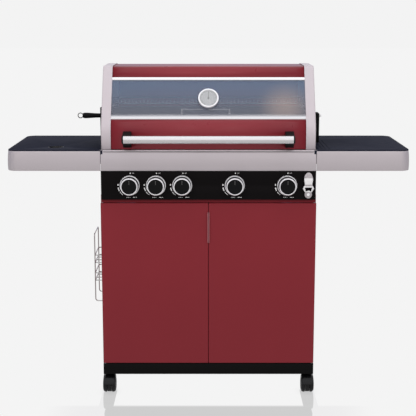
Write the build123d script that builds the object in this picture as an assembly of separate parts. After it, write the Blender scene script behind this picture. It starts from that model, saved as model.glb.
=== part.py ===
from build123d import *
import math
import os

# Gas barbecue grill on a two-door trolley, in millimetres
# X runs to the right, Y to the back and Z up from the floor, with the origin under the middle

# Widths
body_half = 381.5
panel_inset = 4.5
shelf_length = 323.5
lid_inset = 7.5
firebox_inset = 5.0
seam = 3.0

# Heights
caster_height = 75.0
base_height = 40.0
door_height = 591.0
rail_height = 13.0
panel_height = 103.0
fascia_height = 73.0
lid_height = 285.0
door_gap = 2.0
rim_gap = 1.0
side_rise = 12.0

# Depths
fascia_front = -207.0
shelf_depth = 450.0
panel_set_back = 10.0
door_set_back = 25.0
door_depth = 16.0
side_gap = 3.0
side_depth = 385.0
firebox_set_back = 22.0

# Sheets and fits
sheet = 2.0
flange = 22.0
run_fit = 0.06
seat_fit = 0.3

# Levels that follow from the heights
base_top = caster_height + base_height
door_bottom = base_top + door_gap
door_top = door_bottom + door_height
rail_bottom = door_top + door_gap
panel_bottom = rail_bottom + rail_height
panel_top = panel_bottom + panel_height
fascia_top = panel_top + fascia_height
lid_rim = fascia_top + rim_gap
lid_top = lid_rim + lid_height
side_top = panel_bottom + side_rise

# Planes that follow from the widths and depths
lid_half = body_half - lid_inset
firebox_half = lid_half - firebox_inset
shelf_end = body_half + shelf_length
panel_front = fascia_front + panel_set_back
lid_front = panel_front
door_front = fascia_front + door_set_back
door_back = door_front + door_depth
side_front = door_back + side_gap
side_rear = side_front + side_depth
firebox_front = fascia_front + firebox_set_back
firebox_rear = side_rear

# Cabinet
side_top_flange = 32.0
back_sheet = 2.0
back_clear = 28.0
hinge_inset = 6.0
hinge_depth = 8.0
pin_r = 3.0
pin_length = 18.0
pin_collar_r = 5.0
pin_block = 22.0
pull_length = 110.0
pull_drop = 33.0
pull_reach = 12.0
pull_thick = 2.2

# Casters
wheel_r = 30.0
wheel_width = 14.0
wheel_inner = 9.0
wheel_round = 3.0
axle_r = 4.0
caster_trail = 18.0
caster_inset = 19.5
caster_front_inset = 43.0
caster_rear_inset = 62.0
hood_gap = 1.5
hood_wall = 3.0
hood_half = 23.5
hood_lift = 6.0
web_half = 7.0
web_r = 24.0
neck_r = 9.0
stem_r = 5.0
stem_length = 24.0
socket_r = 10.0
socket_height = 27.0
caster_x = body_half - caster_inset
caster_front_y = door_front + caster_front_inset
caster_rear_y = side_rear - caster_rear_inset

# Firebox
part_gap = 4.0
rear_wall_rise = 120.0
slope_from_front = 73.0
slope_from_rear = 164.0
shoulder_drop = 46.0
valve_room = 65.0
trough_rise = 7.0
trough_set_back = 155.0
trough_width = 90.0
ledge_depth = 12.0
ledge_thick = 4.0
grate_drop = 34.0
rim_front = lid_rim - part_gap
rim_rear = rim_front + rear_wall_rise
ledge_top = rim_front - grate_drop
slope_start = firebox_front + slope_from_front
slope_end = firebox_rear - slope_from_rear
shoulder_z = rim_front - shoulder_drop
valve_room_y = firebox_front + valve_room
trough_z = side_top + trough_rise
trough_y0 = firebox_front + trough_set_back
trough_y1 = trough_y0 + trough_width

# Knobs, spread evenly over the control panel with two places left free
knob_margin = 105.5
knob_lift = -0.5
valve_stem_r = 4.0
stem_engage = 7.0
stem_hole_r = 7.0
bezel_outer_r = 35.0
bezel_inner_r = 31.0
bezel_depth = 10.0
knob_r = 29.5
knob_front_r = 30.4
knob_stand_off = 5.5
knob_depth = 33.5
knob_skirt = 11.5
knob_edge = 3.7
knob_travel = 4.0
stem_tip = 20.0
knob_pitch = (body_half - knob_margin) / 3
knob_z = panel_bottom + panel_height / 2 + knob_lift
knob_back = panel_front - knob_stand_off
knob_x = [-3 * knob_pitch, -2 * knob_pitch, -knob_pitch, knob_pitch, 3 * knob_pitch]
burner_x = [-3 * knob_pitch, -knob_pitch, knob_pitch, 3 * knob_pitch]

# Burners, tamers and grates
burner_r = 14.0
burner_wall = 1.5
burner_lift = 6.0
burner_reach = 16.0
burner_tail = 15.0
burner_hole_fit = 0.5
burner_wall_drop = 18.0
burner_wall_height = 40.0
tail_r = 4.0
tamer_half = 40.0
tamer_drop = 37.0
tamer_rise = 25.0
tamer_inset = 7.0
tamer_tab = 3.0
tamer_tab_half = 45.0
grate_height = 10.0
grate_bar = 6.0
grate_gap = 12.0
grate_rim = 9.0
grate_clear = 1.0
burner_z = knob_z + burner_lift
burner_wall_bottom = burner_z - burner_wall_drop
burner_wall_top = burner_wall_bottom + burner_wall_height
burner_front = valve_room_y - burner_reach
tamer_low = ledge_top - tamer_drop
tab_fall = (shoulder_z - tamer_low + tamer_tab / 2) / (shoulder_z - burner_wall_top)
tab_front = firebox_front + tab_fall * valve_room
tamer_front = tab_front + tamer_inset

# Warming rack and rear burner
rack_rise = 36.0
rack_ledge_drop = 4.0
rack_lip = 12.0
rack_front_gap = 4.0
rack_rear_gap = 19.0
rack_side_gap = 47.0
rack_leg_gap = 8.0
rack_pitch = 14.0
rack_wire = 2.0
rack_rod = 3.0
rear_burner_margin = 139.0
rear_burner_rise = 63.0
rear_burner_height = 60.0
rear_burner_depth = 22.0
rear_burner_wall = 8.0
tile_depth = 5.0
rack_z = rim_rear + rack_rise
rack_ledge_z = rim_rear - rack_ledge_drop
rack_front = slope_end + rack_front_gap
rack_rear = firebox_rear - rack_rear_gap
rack_half = firebox_half - rack_side_gap
rack_leg_x = firebox_half - rack_leg_gap
rear_burner_half = firebox_half - rear_burner_margin
rear_burner_low = ledge_top + rear_burner_rise

# Gas train
manifold_size = 22.0
manifold_set_back = 19.0
manifold_wall = 2.0
manifold_drop = 14.0
valve_half = 11.0
valve_set_back = 15.0
valve_length = 36.0
valve_height = 30.0
bush_r = 7.5
bush_length = 8.0
nozzle_r = 5.0
nozzle_length = 14.0
inlet_margin = 47.0
inlet_r = 6.58
inlet_bore = 4.0
inlet_length = 14.0
pipe_r = 4.0
pipe_bend = 9.0
pipe_front_gap = 13.0
pipe_drop = 7.0
pipe_margin = 39.0
pipe_rear_gap = 14.0
pipe_rise = 25.0
pipe_end_margin = 30.0
manifold_top = knob_z - manifold_drop
manifold_front = panel_front + manifold_set_back
manifold_back = manifold_front + manifold_size
valve_front = panel_front + valve_set_back
valve_back = valve_front + valve_length
inlet_x = -(firebox_half - inlet_margin)
pipe_run_y = valve_room_y - pipe_front_gap
pipe_low_z = side_top - pipe_drop
pipe_x = -(firebox_half - pipe_margin)
pipe_top_z = rear_burner_low + pipe_rise
pipe_end_x = -(rear_burner_half - pipe_end_margin)

# Grease tray and cup
tray_margin = 107.0
tray_height = 26.7
tray_clear = 5.0
tray_front_gap = 30.0
tray_rear_gap = 7.0
tray_lip = 23.0
tray_lip_half = 60.0
runner_lip = 12.0
trough_inset = 12.0
cup_r = 44.0
cup_wall = 1.5
cup_depth = 42.0
cup_mouth_r = 34.0
tray_half = firebox_half - tray_margin
tray_front = trough_y0 - tray_front_gap
tray_rear = firebox_rear - tray_rear_gap
tray_bottom = trough_z - tray_clear - tray_height
trough_half = tray_half - trough_inset
back_top = tray_bottom - cup_depth - back_clear

# Shelves and fascias
fascia_sheet = 3.0
fascia_corner = 36.0
fascia_wrap = 62.0
shelf_rear_corner = 35.0
shelf_skirt = 48.0
shelf_sheet = 2.5
fascia_inset = 5.6
shelf_seam = 1.0
joggle_depth = 1.0
joggle_clear = 4.5
cup_hole_out = 161.5
cup_hole_set_back = 91.0
cup_hole_r = 28.0
groove_count = 3
groove_out = 26.0
groove_pitch = 14.0
groove_width = 5.0
groove_depth = 1.0
groove_set_back = 17.0
groove_length = 270.0
center_fascia_half = body_half - fascia_inset
cup_hole_x = -(body_half + cup_hole_out)
cup_hole_y = fascia_front + cup_hole_set_back

# Bottle opener, from the top oval down to the bottom oval
opener_margin = 31.5
opener_thick = 3.0
opener_stand_off = 12.0
opener_post_r = 5.0
opener_clear = 5.5
top_oval = (15.5, 24.0)
low_oval = (13.0, 14.0)
opener_waist = (27.0, 24.0)
opener_head_r = 20.0
opener_head_z = -10.0
opener_mouth_top = (26.0, -6.6)
opener_mouth_low = (18.0, -22.0)
opener_length = panel_height - 2 * opener_clear
opener_x = body_half - opener_margin

# Lid
lid_overhang = 6.0
lid_bend = 77.0
lid_lean = 30.4
bend_radius = 80.0
crown_radius = 18.0
rear_crown_radius = 120.0
cap_sheet = 2.5
cap_band = 34.0
skin_depth = 2.7
skin_sheet = 2.0
lower_trim_s = 30.0
trim_width = 17.0
upper_trim_width = 11.5
crown_margin = 34.6
glass_sheet = 4.0
glass_lap = 7.0
trim_lap = 5.0
rim_return = 12.0
notch_r = 10.0
notch_drop = 40.0
notch_rear = 14.0
rear_lap = 3.0
lid_rear = firebox_rear + lid_overhang
lean = math.radians(lid_lean)
bend_z = lid_rim + lid_bend
lean_length = (lid_height - lid_bend) / math.cos(lean)
crown_tangent = crown_radius * math.tan((math.pi / 2 - lean) / 2)
upper_trim_s = lean_length - crown_tangent - crown_margin - upper_trim_width

# Lid handle
handle_r = 13.5
handle_wall = 1.5
handle_margin = 82.0
handle_stand_off = 50.0
handle_rise = 40.0
bracket_width = 29.0
bracket_beyond = 5.0
bracket_low = 34.0
bracket_high = 24.0
handle_half = lid_half - handle_margin
handle_y = lid_front - handle_stand_off
handle_z = lid_rim + handle_rise
bracket_x1 = handle_half + bracket_beyond
bracket_x0 = bracket_x1 - bracket_width

# Lid hinges, on the back of the firebox
hinge_out = 29.5
hinge_lug_r = 9.0
hinge_pin_r = 4.0
hinge_margin = 74.0
barrel_half = 14.0
barrel_r = 8.0
lug_thick = 4.0
lug_gap = 0.5
leaf_height = 32.0
leaf_sheet = 3.0
leaf_rise = 12.0
hinge_lift = 2.0
hinge_x = lid_half - hinge_margin
hinge_y = firebox_rear + hinge_out
hinge_z = rim_rear + hinge_lift

# Thermometer, a little below the middle of the glass
gauge_r = 36.0
gauge_depth = 12.0
gauge_drop = 5.4
gauge_rim = 4.0
gauge_recess = 3.0
gauge_hole_r = 6.0
probe_r = 3.0
probe_length = 60.0
gauge_nut_r = 10.0
gauge_nut = 5.0
lens_thick = 1.0
hand_width = 1.5
gauge_s = (lower_trim_s + trim_width + upper_trim_s) / 2 - gauge_drop

# Rotisserie, carried just over the sloping edge of the firebox ends
spit_from_slope = 127.0
spit_over = 13.4
spit_r = 5.0
spit_left_out = 30.0
spit_right_out = 38.0
spit_fit = 0.4
bracket_sheet = 2.5
bracket_half = 15.0
bracket_reach = 26.0
bracket_over = 30.0
bracket_foot_drop = 34.0
bracket_gap = 3.0
motor_reach = 36.0
motor_depth = 40.0
motor_over = 14.0
motor_chamfer = 8.0
grip_length = 56.0
grip_swell = 45.0
grip_small_r = 7.5
grip_big_r = 10.5
grip_end_r = 8.5
ring_r = 9.0
ring_wire = 1.5
fork_x = [-97.0, 77.0]
fork_collar_r = 10.0
fork_collar = 9.0
fork_spread = 24.0
fork_prong_r = 2.0
fork_prong = 78.0
fork_bar = 5.0
screw_r = 3.0
screw_head_r = 8.0
screw_reach = 24.0
spit_y = slope_start + spit_from_slope
spit_z = rim_front + rear_wall_rise * spit_from_slope / (slope_end - slope_start) + spit_over
spit_left = -(lid_half + spit_left_out)
spit_right = lid_half + spit_right_out
bracket_top = spit_z + bracket_over
bracket_foot_top = spit_z - bracket_foot_drop
bracket_base = fascia_top + bracket_gap
motor_top = spit_z + motor_over

# Wire rack on the left side
spice_wire = 2.0
spice_reach = 36.0
spice_from_front = 95.0
spice_length = 132.0
spice_from_top = 162.0
spice_height = 253.0
spice_bend = 9.0
spice_tier_drops = [80.0, 147.0]
spice_tier_depth = 28.0
spice_floor_wires = 2
spice_front = side_front + spice_from_front
spice_rear = spice_front + spice_length
spice_top = side_top - spice_from_top
spice_bottom = spice_top - spice_height


# Plain shapes placed by their corners and axes
def block(x0, x1, y0, y1, z0, z1):
    middle = Pos((x0 + x1) / 2, (y0 + y1) / 2, (z0 + z1) / 2)
    return middle * Box(abs(x1 - x0), abs(y1 - y0), abs(z1 - z0))


def rod_x(r, x0, x1, y, z):
    return Pos((x0 + x1) / 2, y, z) * Rot(0, 90, 0) * Cylinder(r, abs(x1 - x0))


def rod_y(r, x, y0, y1, z):
    return Pos(x, (y0 + y1) / 2, z) * Rot(90, 0, 0) * Cylinder(r, abs(y1 - y0))


def rod_z(r, x, y, z0, z1):
    return Pos(x, y, (z0 + z1) / 2) * Cylinder(r, abs(z1 - z0))


def outline(points):
    return make_face(Polyline(*points, close=True))


def slab_x(face, x0, x1):
    return extrude(Plane.YZ.offset(x0) * face, x1 - x0)


def slab_y(face, y0, y1):
    return extrude(Plane.XZ.offset(-y1) * face, y1 - y0)


def wire(points, r, bend):
    path = FilletPolyline(*points, radius=bend)
    start = Plane(origin=path @ 0, z_dir=path % 0)
    return sweep(start * Circle(r), path)


def other_side(shape):
    return mirror(shape, about=Plane.YZ)


def save(name, *shapes):
    solids = [solid for shape in shapes for solid in shape.solids()]
    whole = solids[0] if len(solids) == 1 else Compound(children=solids)
    export_step(whole, f"parts/{name}.step")


# Trolley cabinet
def caster_places():
    return [(x, y) for y in (caster_front_y, caster_rear_y) for x in (-caster_x, caster_x)]


def base_tray():
    rear = side_rear + back_sheet
    tray = block(-body_half, body_half, door_front, rear, caster_height, base_top)
    tray -= block(-body_half + sheet, body_half - sheet, door_front + sheet, rear - sheet,
                  caster_height + sheet, base_top - sheet)
    tray -= block(-body_half + flange, body_half - flange, door_front + flange, rear - flange,
                  base_top - 2 * sheet, base_top + sheet)
    for x, y in caster_places():
        tray += rod_z(socket_r, x, y, caster_height, caster_height + socket_height)
        tray -= rod_z(stem_r + run_fit, x, y, caster_height - sheet, caster_height + stem_length + sheet)
    return tray


def right_side_panel():
    inner = body_half - flange
    panel = block(body_half - sheet, body_half, side_front, side_rear, base_top, side_top)
    panel += block(inner, body_half, side_front, side_front + sheet, base_top, side_top)
    panel += block(inner, body_half, side_rear - sheet, side_rear, base_top, side_top)
    panel += block(body_half - side_top_flange, body_half, side_front, side_rear, side_top - sheet, side_top)
    return panel


def back_panel():
    half = body_half - sheet
    return block(-half, half, side_rear, side_rear + back_sheet, base_top, back_top)


def front_rail():
    half = body_half - sheet
    rail = block(-half, half, door_front, side_front, rail_bottom, panel_bottom)
    rail -= block(-half - sheet, half + sheet, door_front + sheet, side_front + sheet,
                  rail_bottom + sheet, panel_bottom - sheet)
    return rail


def right_door():
    free_edge = seam / 2
    pin_x = body_half - hinge_inset
    pin_y = door_front + hinge_depth
    door = block(free_edge, body_half, door_front, door_back, door_bottom, door_top)
    door -= block(free_edge + sheet, body_half - sheet, door_front + sheet, door_back + sheet,
                  door_bottom + sheet, door_top - sheet)
    for low in (door_bottom, door_top - pin_block):
        door += block(pin_x - hinge_depth, body_half, door_front, door_back, low, low + pin_block)
    bore_depth = pin_length + sheet
    for low in (door_bottom - sheet, door_top - bore_depth):
        door -= rod_z(pin_r + run_fit, pin_x, pin_y, low, low + bore_depth + sheet)
    return door


def right_door_pull():
    free_edge = seam / 2
    top = door_top - pull_drop
    return block(free_edge, free_edge + pull_thick, door_front - pull_reach, door_front, top - pull_length, top)


def right_door_pins():
    pin_x = body_half - hinge_inset
    pin_y = door_front + hinge_depth
    low = rod_z(pin_r, pin_x, pin_y, base_top, door_bottom + pin_length)
    low += rod_z(pin_collar_r, pin_x, pin_y, base_top, door_bottom - seat_fit)
    high = rod_z(pin_r, pin_x, pin_y, door_top - pin_length, rail_bottom)
    high += rod_z(pin_collar_r, pin_x, pin_y, door_top + seat_fit, rail_bottom)
    return [low, high]


# Twin-wheel casters, each turned with its wheels to the front of its swivel
def caster_hood(x, y):
    axle_y = y - caster_trail
    inner = wheel_r + hood_gap
    outer = inner + hood_wall
    hood = rod_x(outer, x - hood_half, x + hood_half, axle_y, wheel_r)
    hood -= rod_x(inner, x - hood_half - sheet, x + hood_half + sheet, axle_y, wheel_r)
    upper = wheel_r + hood_lift
    hood &= block(x - hood_half, x + hood_half, axle_y - outer, axle_y + outer, upper, wheel_r + outer)
    web = rod_x(web_r, x - web_half, x + web_half, axle_y, wheel_r)
    web += block(x - web_half, x + web_half, axle_y - web_r, axle_y + web_r, wheel_r, wheel_r + web_r)
    neck_bottom = wheel_r + math.sqrt(inner**2 - caster_trail**2) + hood_wall / 4
    body = hood + web + rod_z(neck_r, x, y, neck_bottom, caster_height - seat_fit)
    body += rod_z(web_half, x, y, wheel_r, neck_bottom + hood_wall)
    body += rod_z(stem_r, x, y, neck_bottom, caster_height + stem_length)
    return body - rod_x(axle_r + run_fit, x - hood_half, x + hood_half, axle_y, wheel_r)


def caster_wheel_pair(x, y):
    axle_y = y - caster_trail
    solids = [rod_x(axle_r, x - wheel_inner, x + wheel_inner, axle_y, wheel_r)]
    for side in (-1, 1):
        near = x + side * wheel_inner
        disc = rod_x(wheel_r, near, near + side * wheel_width, axle_y, wheel_r)
        rims = disc.edges().filter_by(GeomType.CIRCLE)
        solids.append(fillet(rims, wheel_round))
    return solids


# Firebox with its raised back, sloping floor, ledges and tray runners
def tub_outline():
    return [(firebox_front, rim_front), (firebox_front, shoulder_z), (valve_room_y, burner_wall_top),
            (valve_room_y, burner_wall_bottom), (trough_y0, trough_z), (trough_y1, trough_z),
            (firebox_rear, burner_wall_bottom), (firebox_rear, rim_rear), (slope_end, rim_rear),
            (slope_start, rim_front)]


def end_outline():
    return [(firebox_front, side_top), (firebox_front, rim_front), (slope_start, rim_front),
            (slope_end, rim_rear), (firebox_rear, rim_rear), (firebox_rear, side_top)]


def tray_runner(side):
    inner = side * (tray_half + sheet)
    outer = inner + side * sheet
    front = tray_front
    rear = tray_rear - runner_lip
    lip_top = tray_bottom - seat_fit
    runner = block(inner, outer, front, rear, lip_top - sheet, burner_wall_bottom)
    runner -= slab_x(offset(outline(tub_outline()), seat_fit), -firebox_half, firebox_half)
    return runner + block(outer - side * runner_lip, outer, front, rear, lip_top - sheet, lip_top)


def tamer_tabs(x):
    x0 = x - tamer_tab_half
    x1 = x + tamer_tab_half
    rear = firebox_rear - sheet
    low = tamer_low - tamer_tab
    front_tab = block(x0, x1, tab_front, tab_front + 2 * ledge_depth, low, tamer_low)
    return front_tab + block(x0, x1, rear - ledge_depth, rear, low, tamer_low)


def rack_ledge(side, y):
    inner = side * (rack_leg_x - 2 * rack_rod)
    wall = side * (firebox_half - sheet)
    return block(inner, wall, y - 2 * rack_rod, y + 2 * rack_rod, rack_ledge_z - ledge_thick, rack_ledge_z)


def firebox():
    half = firebox_half - sheet
    front = firebox_front + sheet
    rear = firebox_rear - sheet
    ledge_low = ledge_top - ledge_thick
    tub = slab_x(outline(tub_outline()), -firebox_half, firebox_half)
    tub -= slab_x(offset(outline(tub_outline()), -sheet, kind=Kind.INTERSECTION), -half, half)
    tub -= block(-half, half, front, rear, ledge_top, lid_top)
    tub -= block(-trough_half, trough_half, trough_y0 + sheet, trough_y1 - sheet,
                 trough_z - sheet, trough_z + 2 * sheet)
    for side in (-1, 1):
        low, high = sorted((side * half, side * firebox_half))
        tub += slab_x(outline(end_outline()), low, high)
        tub += [rack_ledge(side, y) for y in (rack_front, rack_rear)]
    tub += block(-half, half, fascia_front + sheet, firebox_front, rim_front - 2 * sheet, rim_front - sheet)
    tub += block(-half, half, front, front + ledge_depth, ledge_low, ledge_top)
    tub += block(-half, half, rear - ledge_depth, rear, ledge_low, ledge_top)
    for x in burner_x:
        tub += tamer_tabs(x)
        tub -= rod_y(burner_r + burner_hole_fit, x, valve_room_y - sheet, valve_room_y + 2 * sheet, burner_z)
    return tub


def tube_burner(x):
    end = firebox_rear - sheet - burner_tail
    tube = rod_y(burner_r, x, burner_front, end, burner_z)
    tube -= rod_y(burner_r - burner_wall, x, burner_front - sheet, end - sheet, burner_z)
    return tube + rod_y(tail_r, x, end - sheet / 2, firebox_rear - sheet - seat_fit, burner_z)


def flame_tamer(x):
    high = tamer_low + tamer_rise
    inner_half = tamer_half - 2 * sheet
    inner_high = high - 2 * sheet * tamer_rise / tamer_half
    roof = [(x - tamer_half, tamer_low), (x, high), (x + tamer_half, tamer_low),
            (x + inner_half, tamer_low), (x, inner_high), (x - inner_half, tamer_low)]
    return slab_y(outline(roof), tamer_front, firebox_rear - sheet - grate_clear)


def cooking_grate(x0, x1):
    y0 = firebox_front + sheet + grate_clear / 2
    y1 = firebox_rear - sheet - grate_clear / 2
    grate = block(x0, x1, y0, y1, ledge_top, ledge_top + grate_height)
    pitch = grate_bar + grate_gap
    gaps = int((x1 - x0 - 2 * grate_rim + grate_bar) // pitch)
    first = (x0 + x1) / 2 - (gaps * pitch - grate_bar) / 2
    middle = (y0 + y1) / 2
    halves = ((y0 + grate_rim, middle - grate_rim / 2), (middle + grate_rim / 2, y1 - grate_rim))
    slots = []
    for n in range(gaps):
        low = first + n * pitch
        for near, far in halves:
            slots.append(block(low, low + grate_gap, near, far, ledge_top - sheet, rim_front))
    return grate - slots


def warming_rack():
    low = rack_z - rack_lip
    count = int(2 * rack_half // rack_pitch) + 1
    first = -(count - 1) * rack_pitch / 2
    rack = rod_x(rack_rod, -rack_leg_x, rack_leg_x, rack_front, low)
    rack += rod_x(rack_rod, -rack_leg_x, rack_leg_x, rack_rear, rack_z)
    wires = []
    for n in range(count):
        x = first + n * rack_pitch
        run = [(x, rack_front, low), (x, rack_front, rack_z), (x, rack_rear, rack_z)]
        wires.append(wire(run, rack_wire, 2 * rack_wire))
    for side in (-1, 1):
        wires.append(rod_z(rack_rod, side * rack_leg_x, rack_front, rack_ledge_z, low))
        wires.append(rod_z(rack_rod, side * rack_leg_x, rack_rear, rack_ledge_z, rack_z))
    return rack + wires


def rear_burner():
    back = firebox_rear - sheet
    front = back - rear_burner_depth
    high = rear_burner_low + rear_burner_height
    inset = rear_burner_wall
    floor = back - rear_burner_wall
    box = block(-rear_burner_half, rear_burner_half, front, back, rear_burner_low, high)
    box -= block(-rear_burner_half + inset, rear_burner_half - inset, front - sheet, floor,
                 rear_burner_low + inset, high - inset)
    tile_half = rear_burner_half - inset - seat_fit
    tile = block(-tile_half, tile_half, floor - tile_depth, floor,
                 rear_burner_low + inset + seat_fit, high - inset - seat_fit)
    pipe_back = firebox_rear + pipe_rear_gap
    x = knob_x[1]
    route = [(x, valve_back, knob_z), (x, pipe_run_y, knob_z), (x, pipe_run_y, pipe_low_z),
             (pipe_x, pipe_run_y, pipe_low_z), (pipe_x, pipe_back, pipe_low_z), (pipe_x, pipe_back, pipe_top_z),
             (pipe_end_x, pipe_back, pipe_top_z), (pipe_end_x, firebox_rear, pipe_top_z)]
    return [box, tile, wire(route, pipe_r, pipe_bend)]


# Gas manifold, valves and the turning stems
def gas_manifold():
    half = firebox_half - sheet
    low = manifold_top - manifold_size
    bar = block(-half, half, manifold_front, manifold_back, low, manifold_top)
    bar -= block(-half - sheet, half + sheet, manifold_front + manifold_wall, manifold_back - manifold_wall,
                 low + manifold_wall, manifold_top - manifold_wall)
    middle = (low + manifold_top) / 2
    bar += rod_y(inlet_r, inlet_x, manifold_back, manifold_back + inlet_length, middle)
    bore_start = manifold_back - 2 * manifold_wall
    return bar - rod_y(inlet_bore, inlet_x, bore_start, manifold_back + 2 * inlet_length, middle)


def gas_valve(x):
    high = manifold_top + valve_height
    bore_end = valve_front + stem_engage + sheet
    body = block(x - valve_half, x + valve_half, valve_front, valve_back, manifold_top, high)
    body += rod_y(bush_r, x, valve_front - bush_length, valve_front, knob_z)
    body -= rod_y(valve_stem_r + run_fit, x, valve_front - 2 * bush_length, bore_end, knob_z)
    if x in burner_x:
        body += rod_y(nozzle_r, x, valve_back, valve_back + nozzle_length, burner_z)
    return body


def valve_stem(x):
    return rod_y(valve_stem_r, x, knob_back - stem_tip, valve_front + stem_engage, knob_z)


def knob(x):
    bore = valve_stem_r + run_fit
    bore_depth = stem_tip + knob_travel + sheet
    half = [(bore, 0), (knob_r, 0), (knob_r, knob_skirt), (knob_front_r, knob_depth - knob_edge),
            (knob_front_r - knob_edge, knob_depth), (0, knob_depth), (0, bore_depth), (bore, bore_depth)]
    turned = revolve(outline(half), Axis.Y)
    return Pos(x, knob_back, knob_z) * Rot(180, 0, 0) * turned


def knob_bezel(x):
    front = panel_front - bezel_depth
    ring = rod_y(bezel_outer_r, x, front, panel_front, knob_z)
    rim = ring.edges().filter_by(GeomType.CIRCLE).group_by(Axis.Y)[0]
    ring = chamfer(rim, (bezel_outer_r - bezel_inner_r) / 2)
    return ring - rod_y(bezel_inner_r, x, front - sheet, panel_front + sheet, knob_z)


# Grease tray on its runners, with the cup hung below its drain
def tray_middle():
    return (trough_y0 + trough_y1) / 2


def grease_tray():
    top = tray_bottom + tray_height
    inner = tray_half - sheet
    tray = block(-tray_half, tray_half, tray_front, tray_rear, tray_bottom, top)
    tray -= block(-inner, inner, tray_front + sheet, tray_rear - sheet, tray_bottom + sheet, top + sheet)
    tray -= rod_z(cup_mouth_r, 0, tray_middle(), tray_bottom - sheet, tray_bottom + 2 * sheet)
    return tray + block(-tray_lip_half, tray_lip_half, tray_rear, tray_rear + tray_lip, top - 2 * sheet, top)


def grease_cup():
    y = tray_middle()
    cup = rod_z(cup_r, 0, y, tray_bottom - cup_depth, tray_bottom)
    return cup - rod_z(cup_r - cup_wall, 0, y, tray_bottom - cup_depth + cup_wall, tray_bottom + sheet)


# Control panel, fascias and side shelves
def control_panel():
    half = body_half - panel_inset
    panel = block(-half, half, panel_front, panel_front + sheet, panel_bottom, panel_top)
    inner = firebox_half - sheet
    panel += block(-inner, inner, panel_front, panel_front + flange, panel_top - sheet, panel_top)
    panel += block(-inner, inner, panel_front, panel_front + flange, panel_bottom, panel_bottom + sheet)
    for side in (-1, 1):
        panel += block(side * (half - sheet), side * half, panel_front, firebox_front + flange,
                       panel_bottom, panel_top)
    for x in knob_x:
        panel -= rod_y(stem_hole_r, x, panel_front - sheet, panel_front + 2 * sheet, knob_z)
    return panel


def center_fascia():
    half = center_fascia_half
    lip_half = firebox_half - sheet / 2
    strip = block(-half, half, fascia_front, fascia_front + sheet, panel_top, fascia_top)
    strip += block(-lip_half, lip_half, fascia_front, fascia_front + 4 * sheet, fascia_top - sheet, fascia_top)
    strip += block(-half, half, fascia_front, panel_front + flange / 2, panel_top, panel_top + sheet)
    return strip


def shelf_outline(inset, inner):
    end = shelf_end - inset
    front = fascia_front + inset
    rear = fascia_front + shelf_depth
    face = outline([(inner, front), (end, front), (end, rear), (inner, rear)])
    corners = face.vertices().group_by(Axis.X)[-1].sort_by(Axis.Y)
    face = fillet(corners[0], fascia_corner - inset)
    corners = face.vertices().sort_by(Axis.Y)[-2:].sort_by(Axis.X)
    return fillet(corners[-1], shelf_rear_corner)


def right_shelf_top():
    face = shelf_outline(fascia_sheet, firebox_half)
    low = fascia_top - shelf_skirt
    top = extrude(Pos(0, 0, low) * face, shelf_skirt)
    inside = offset(face, -shelf_sheet, kind=Kind.INTERSECTION)
    top -= extrude(Pos(0, 0, low - sheet) * inside, shelf_skirt + sheet - shelf_sheet)
    lowered = fascia_top - joggle_depth
    return top - block(firebox_half - sheet, lid_half + joggle_clear, fascia_front, fascia_front + shelf_depth,
                       lowered, fascia_top + sheet)


def right_shelf():
    shelf = right_shelf_top()
    front = fascia_front + groove_set_back
    for n in range(groove_count):
        x = firebox_half + groove_out + n * groove_pitch
        shelf -= block(x - groove_width / 2, x + groove_width / 2, front, front + groove_length,
                       fascia_top - groove_depth, fascia_top + sheet)
    return shelf


def left_shelf():
    shelf = other_side(right_shelf_top())
    return shelf - rod_z(cup_hole_r, cup_hole_x, cup_hole_y, fascia_top - shelf_skirt, fascia_top + sheet)


def right_fascia():
    inner = center_fascia_half + shelf_seam
    band = extrude(Pos(0, 0, panel_top) * shelf_outline(0, inner), fascia_height)
    inside = shelf_outline(fascia_sheet, inner - sheet)
    band -= extrude(Pos(0, 0, panel_top - sheet) * inside, fascia_height + 2 * sheet)
    return band & block(inner, shelf_end, fascia_front, fascia_front + fascia_wrap, panel_top, fascia_top)


def bottle_opener():
    top_z = opener_length / 2 - top_oval[1]
    low_z = low_oval[1] - opener_length / 2
    wide, high = opener_mouth_top[0] / 2, opener_mouth_top[1]
    narrow, low = opener_mouth_low[0] / 2, opener_mouth_low[1]
    plate = Pos(0, top_z) * Ellipse(*top_oval) + Rectangle(*opener_waist)
    plate += Pos(0, opener_head_z) * RegularPolygon(opener_head_r, 6)
    plate -= make_face(Polyline((-wide, high), (wide, high), (narrow, low), (-narrow, low), close=True))
    plate += Pos(0, low_z) * Ellipse(*low_oval)
    z = (panel_top + panel_bottom) / 2
    front = panel_front - opener_stand_off
    body = slab_y(Pos(opener_x, z) * plate, front, front + opener_thick)
    for rise in (top_z, low_z):
        body += rod_y(opener_post_r, opener_x, front + opener_thick / 2, panel_front, z + rise)
    return body


# Lid: points along its leaning front, measured from the bend
def on_lean(s, out):
    y = lid_front + s * math.sin(lean) - out * math.cos(lean)
    z = bend_z + s * math.cos(lean) + out * math.sin(lean)
    return (y, z)


def lid_section(depth):
    front = lid_front + depth
    top = lid_top - depth
    rear = lid_rear - depth
    y0, z0 = on_lean(0, -depth)
    bend = z0 + (front - y0) / math.tan(lean)
    crest = y0 + (top - z0) * math.tan(lean)
    points = [(front, lid_rim), (front, bend), (crest, top), (rear, top), (rear, lid_rim)]
    bends = [bend_radius - depth, crown_radius - depth, rear_crown_radius - depth]
    curve = FilletPolyline(*points, radius=bends)
    return make_face(curve + Line((rear, lid_rim), (front, lid_rim)))


def lean_strip(s0, s1, out0, out1):
    return outline([on_lean(s0, out0), on_lean(s0, out1), on_lean(s1, out1), on_lean(s1, out0)])


def below_parting():
    crest = rim_rear + lid_rim - rim_front
    edge = firebox_rear + seat_fit
    lap = rim_rear - rear_lap
    far = lid_rear + lid_height
    near = lid_front - lid_height
    return outline([(near, lid_rim), (slope_start, lid_rim), (slope_end, crest), (edge, crest), (edge, lap),
                    (far, lap), (far, caster_height), (near, caster_height)])


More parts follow.
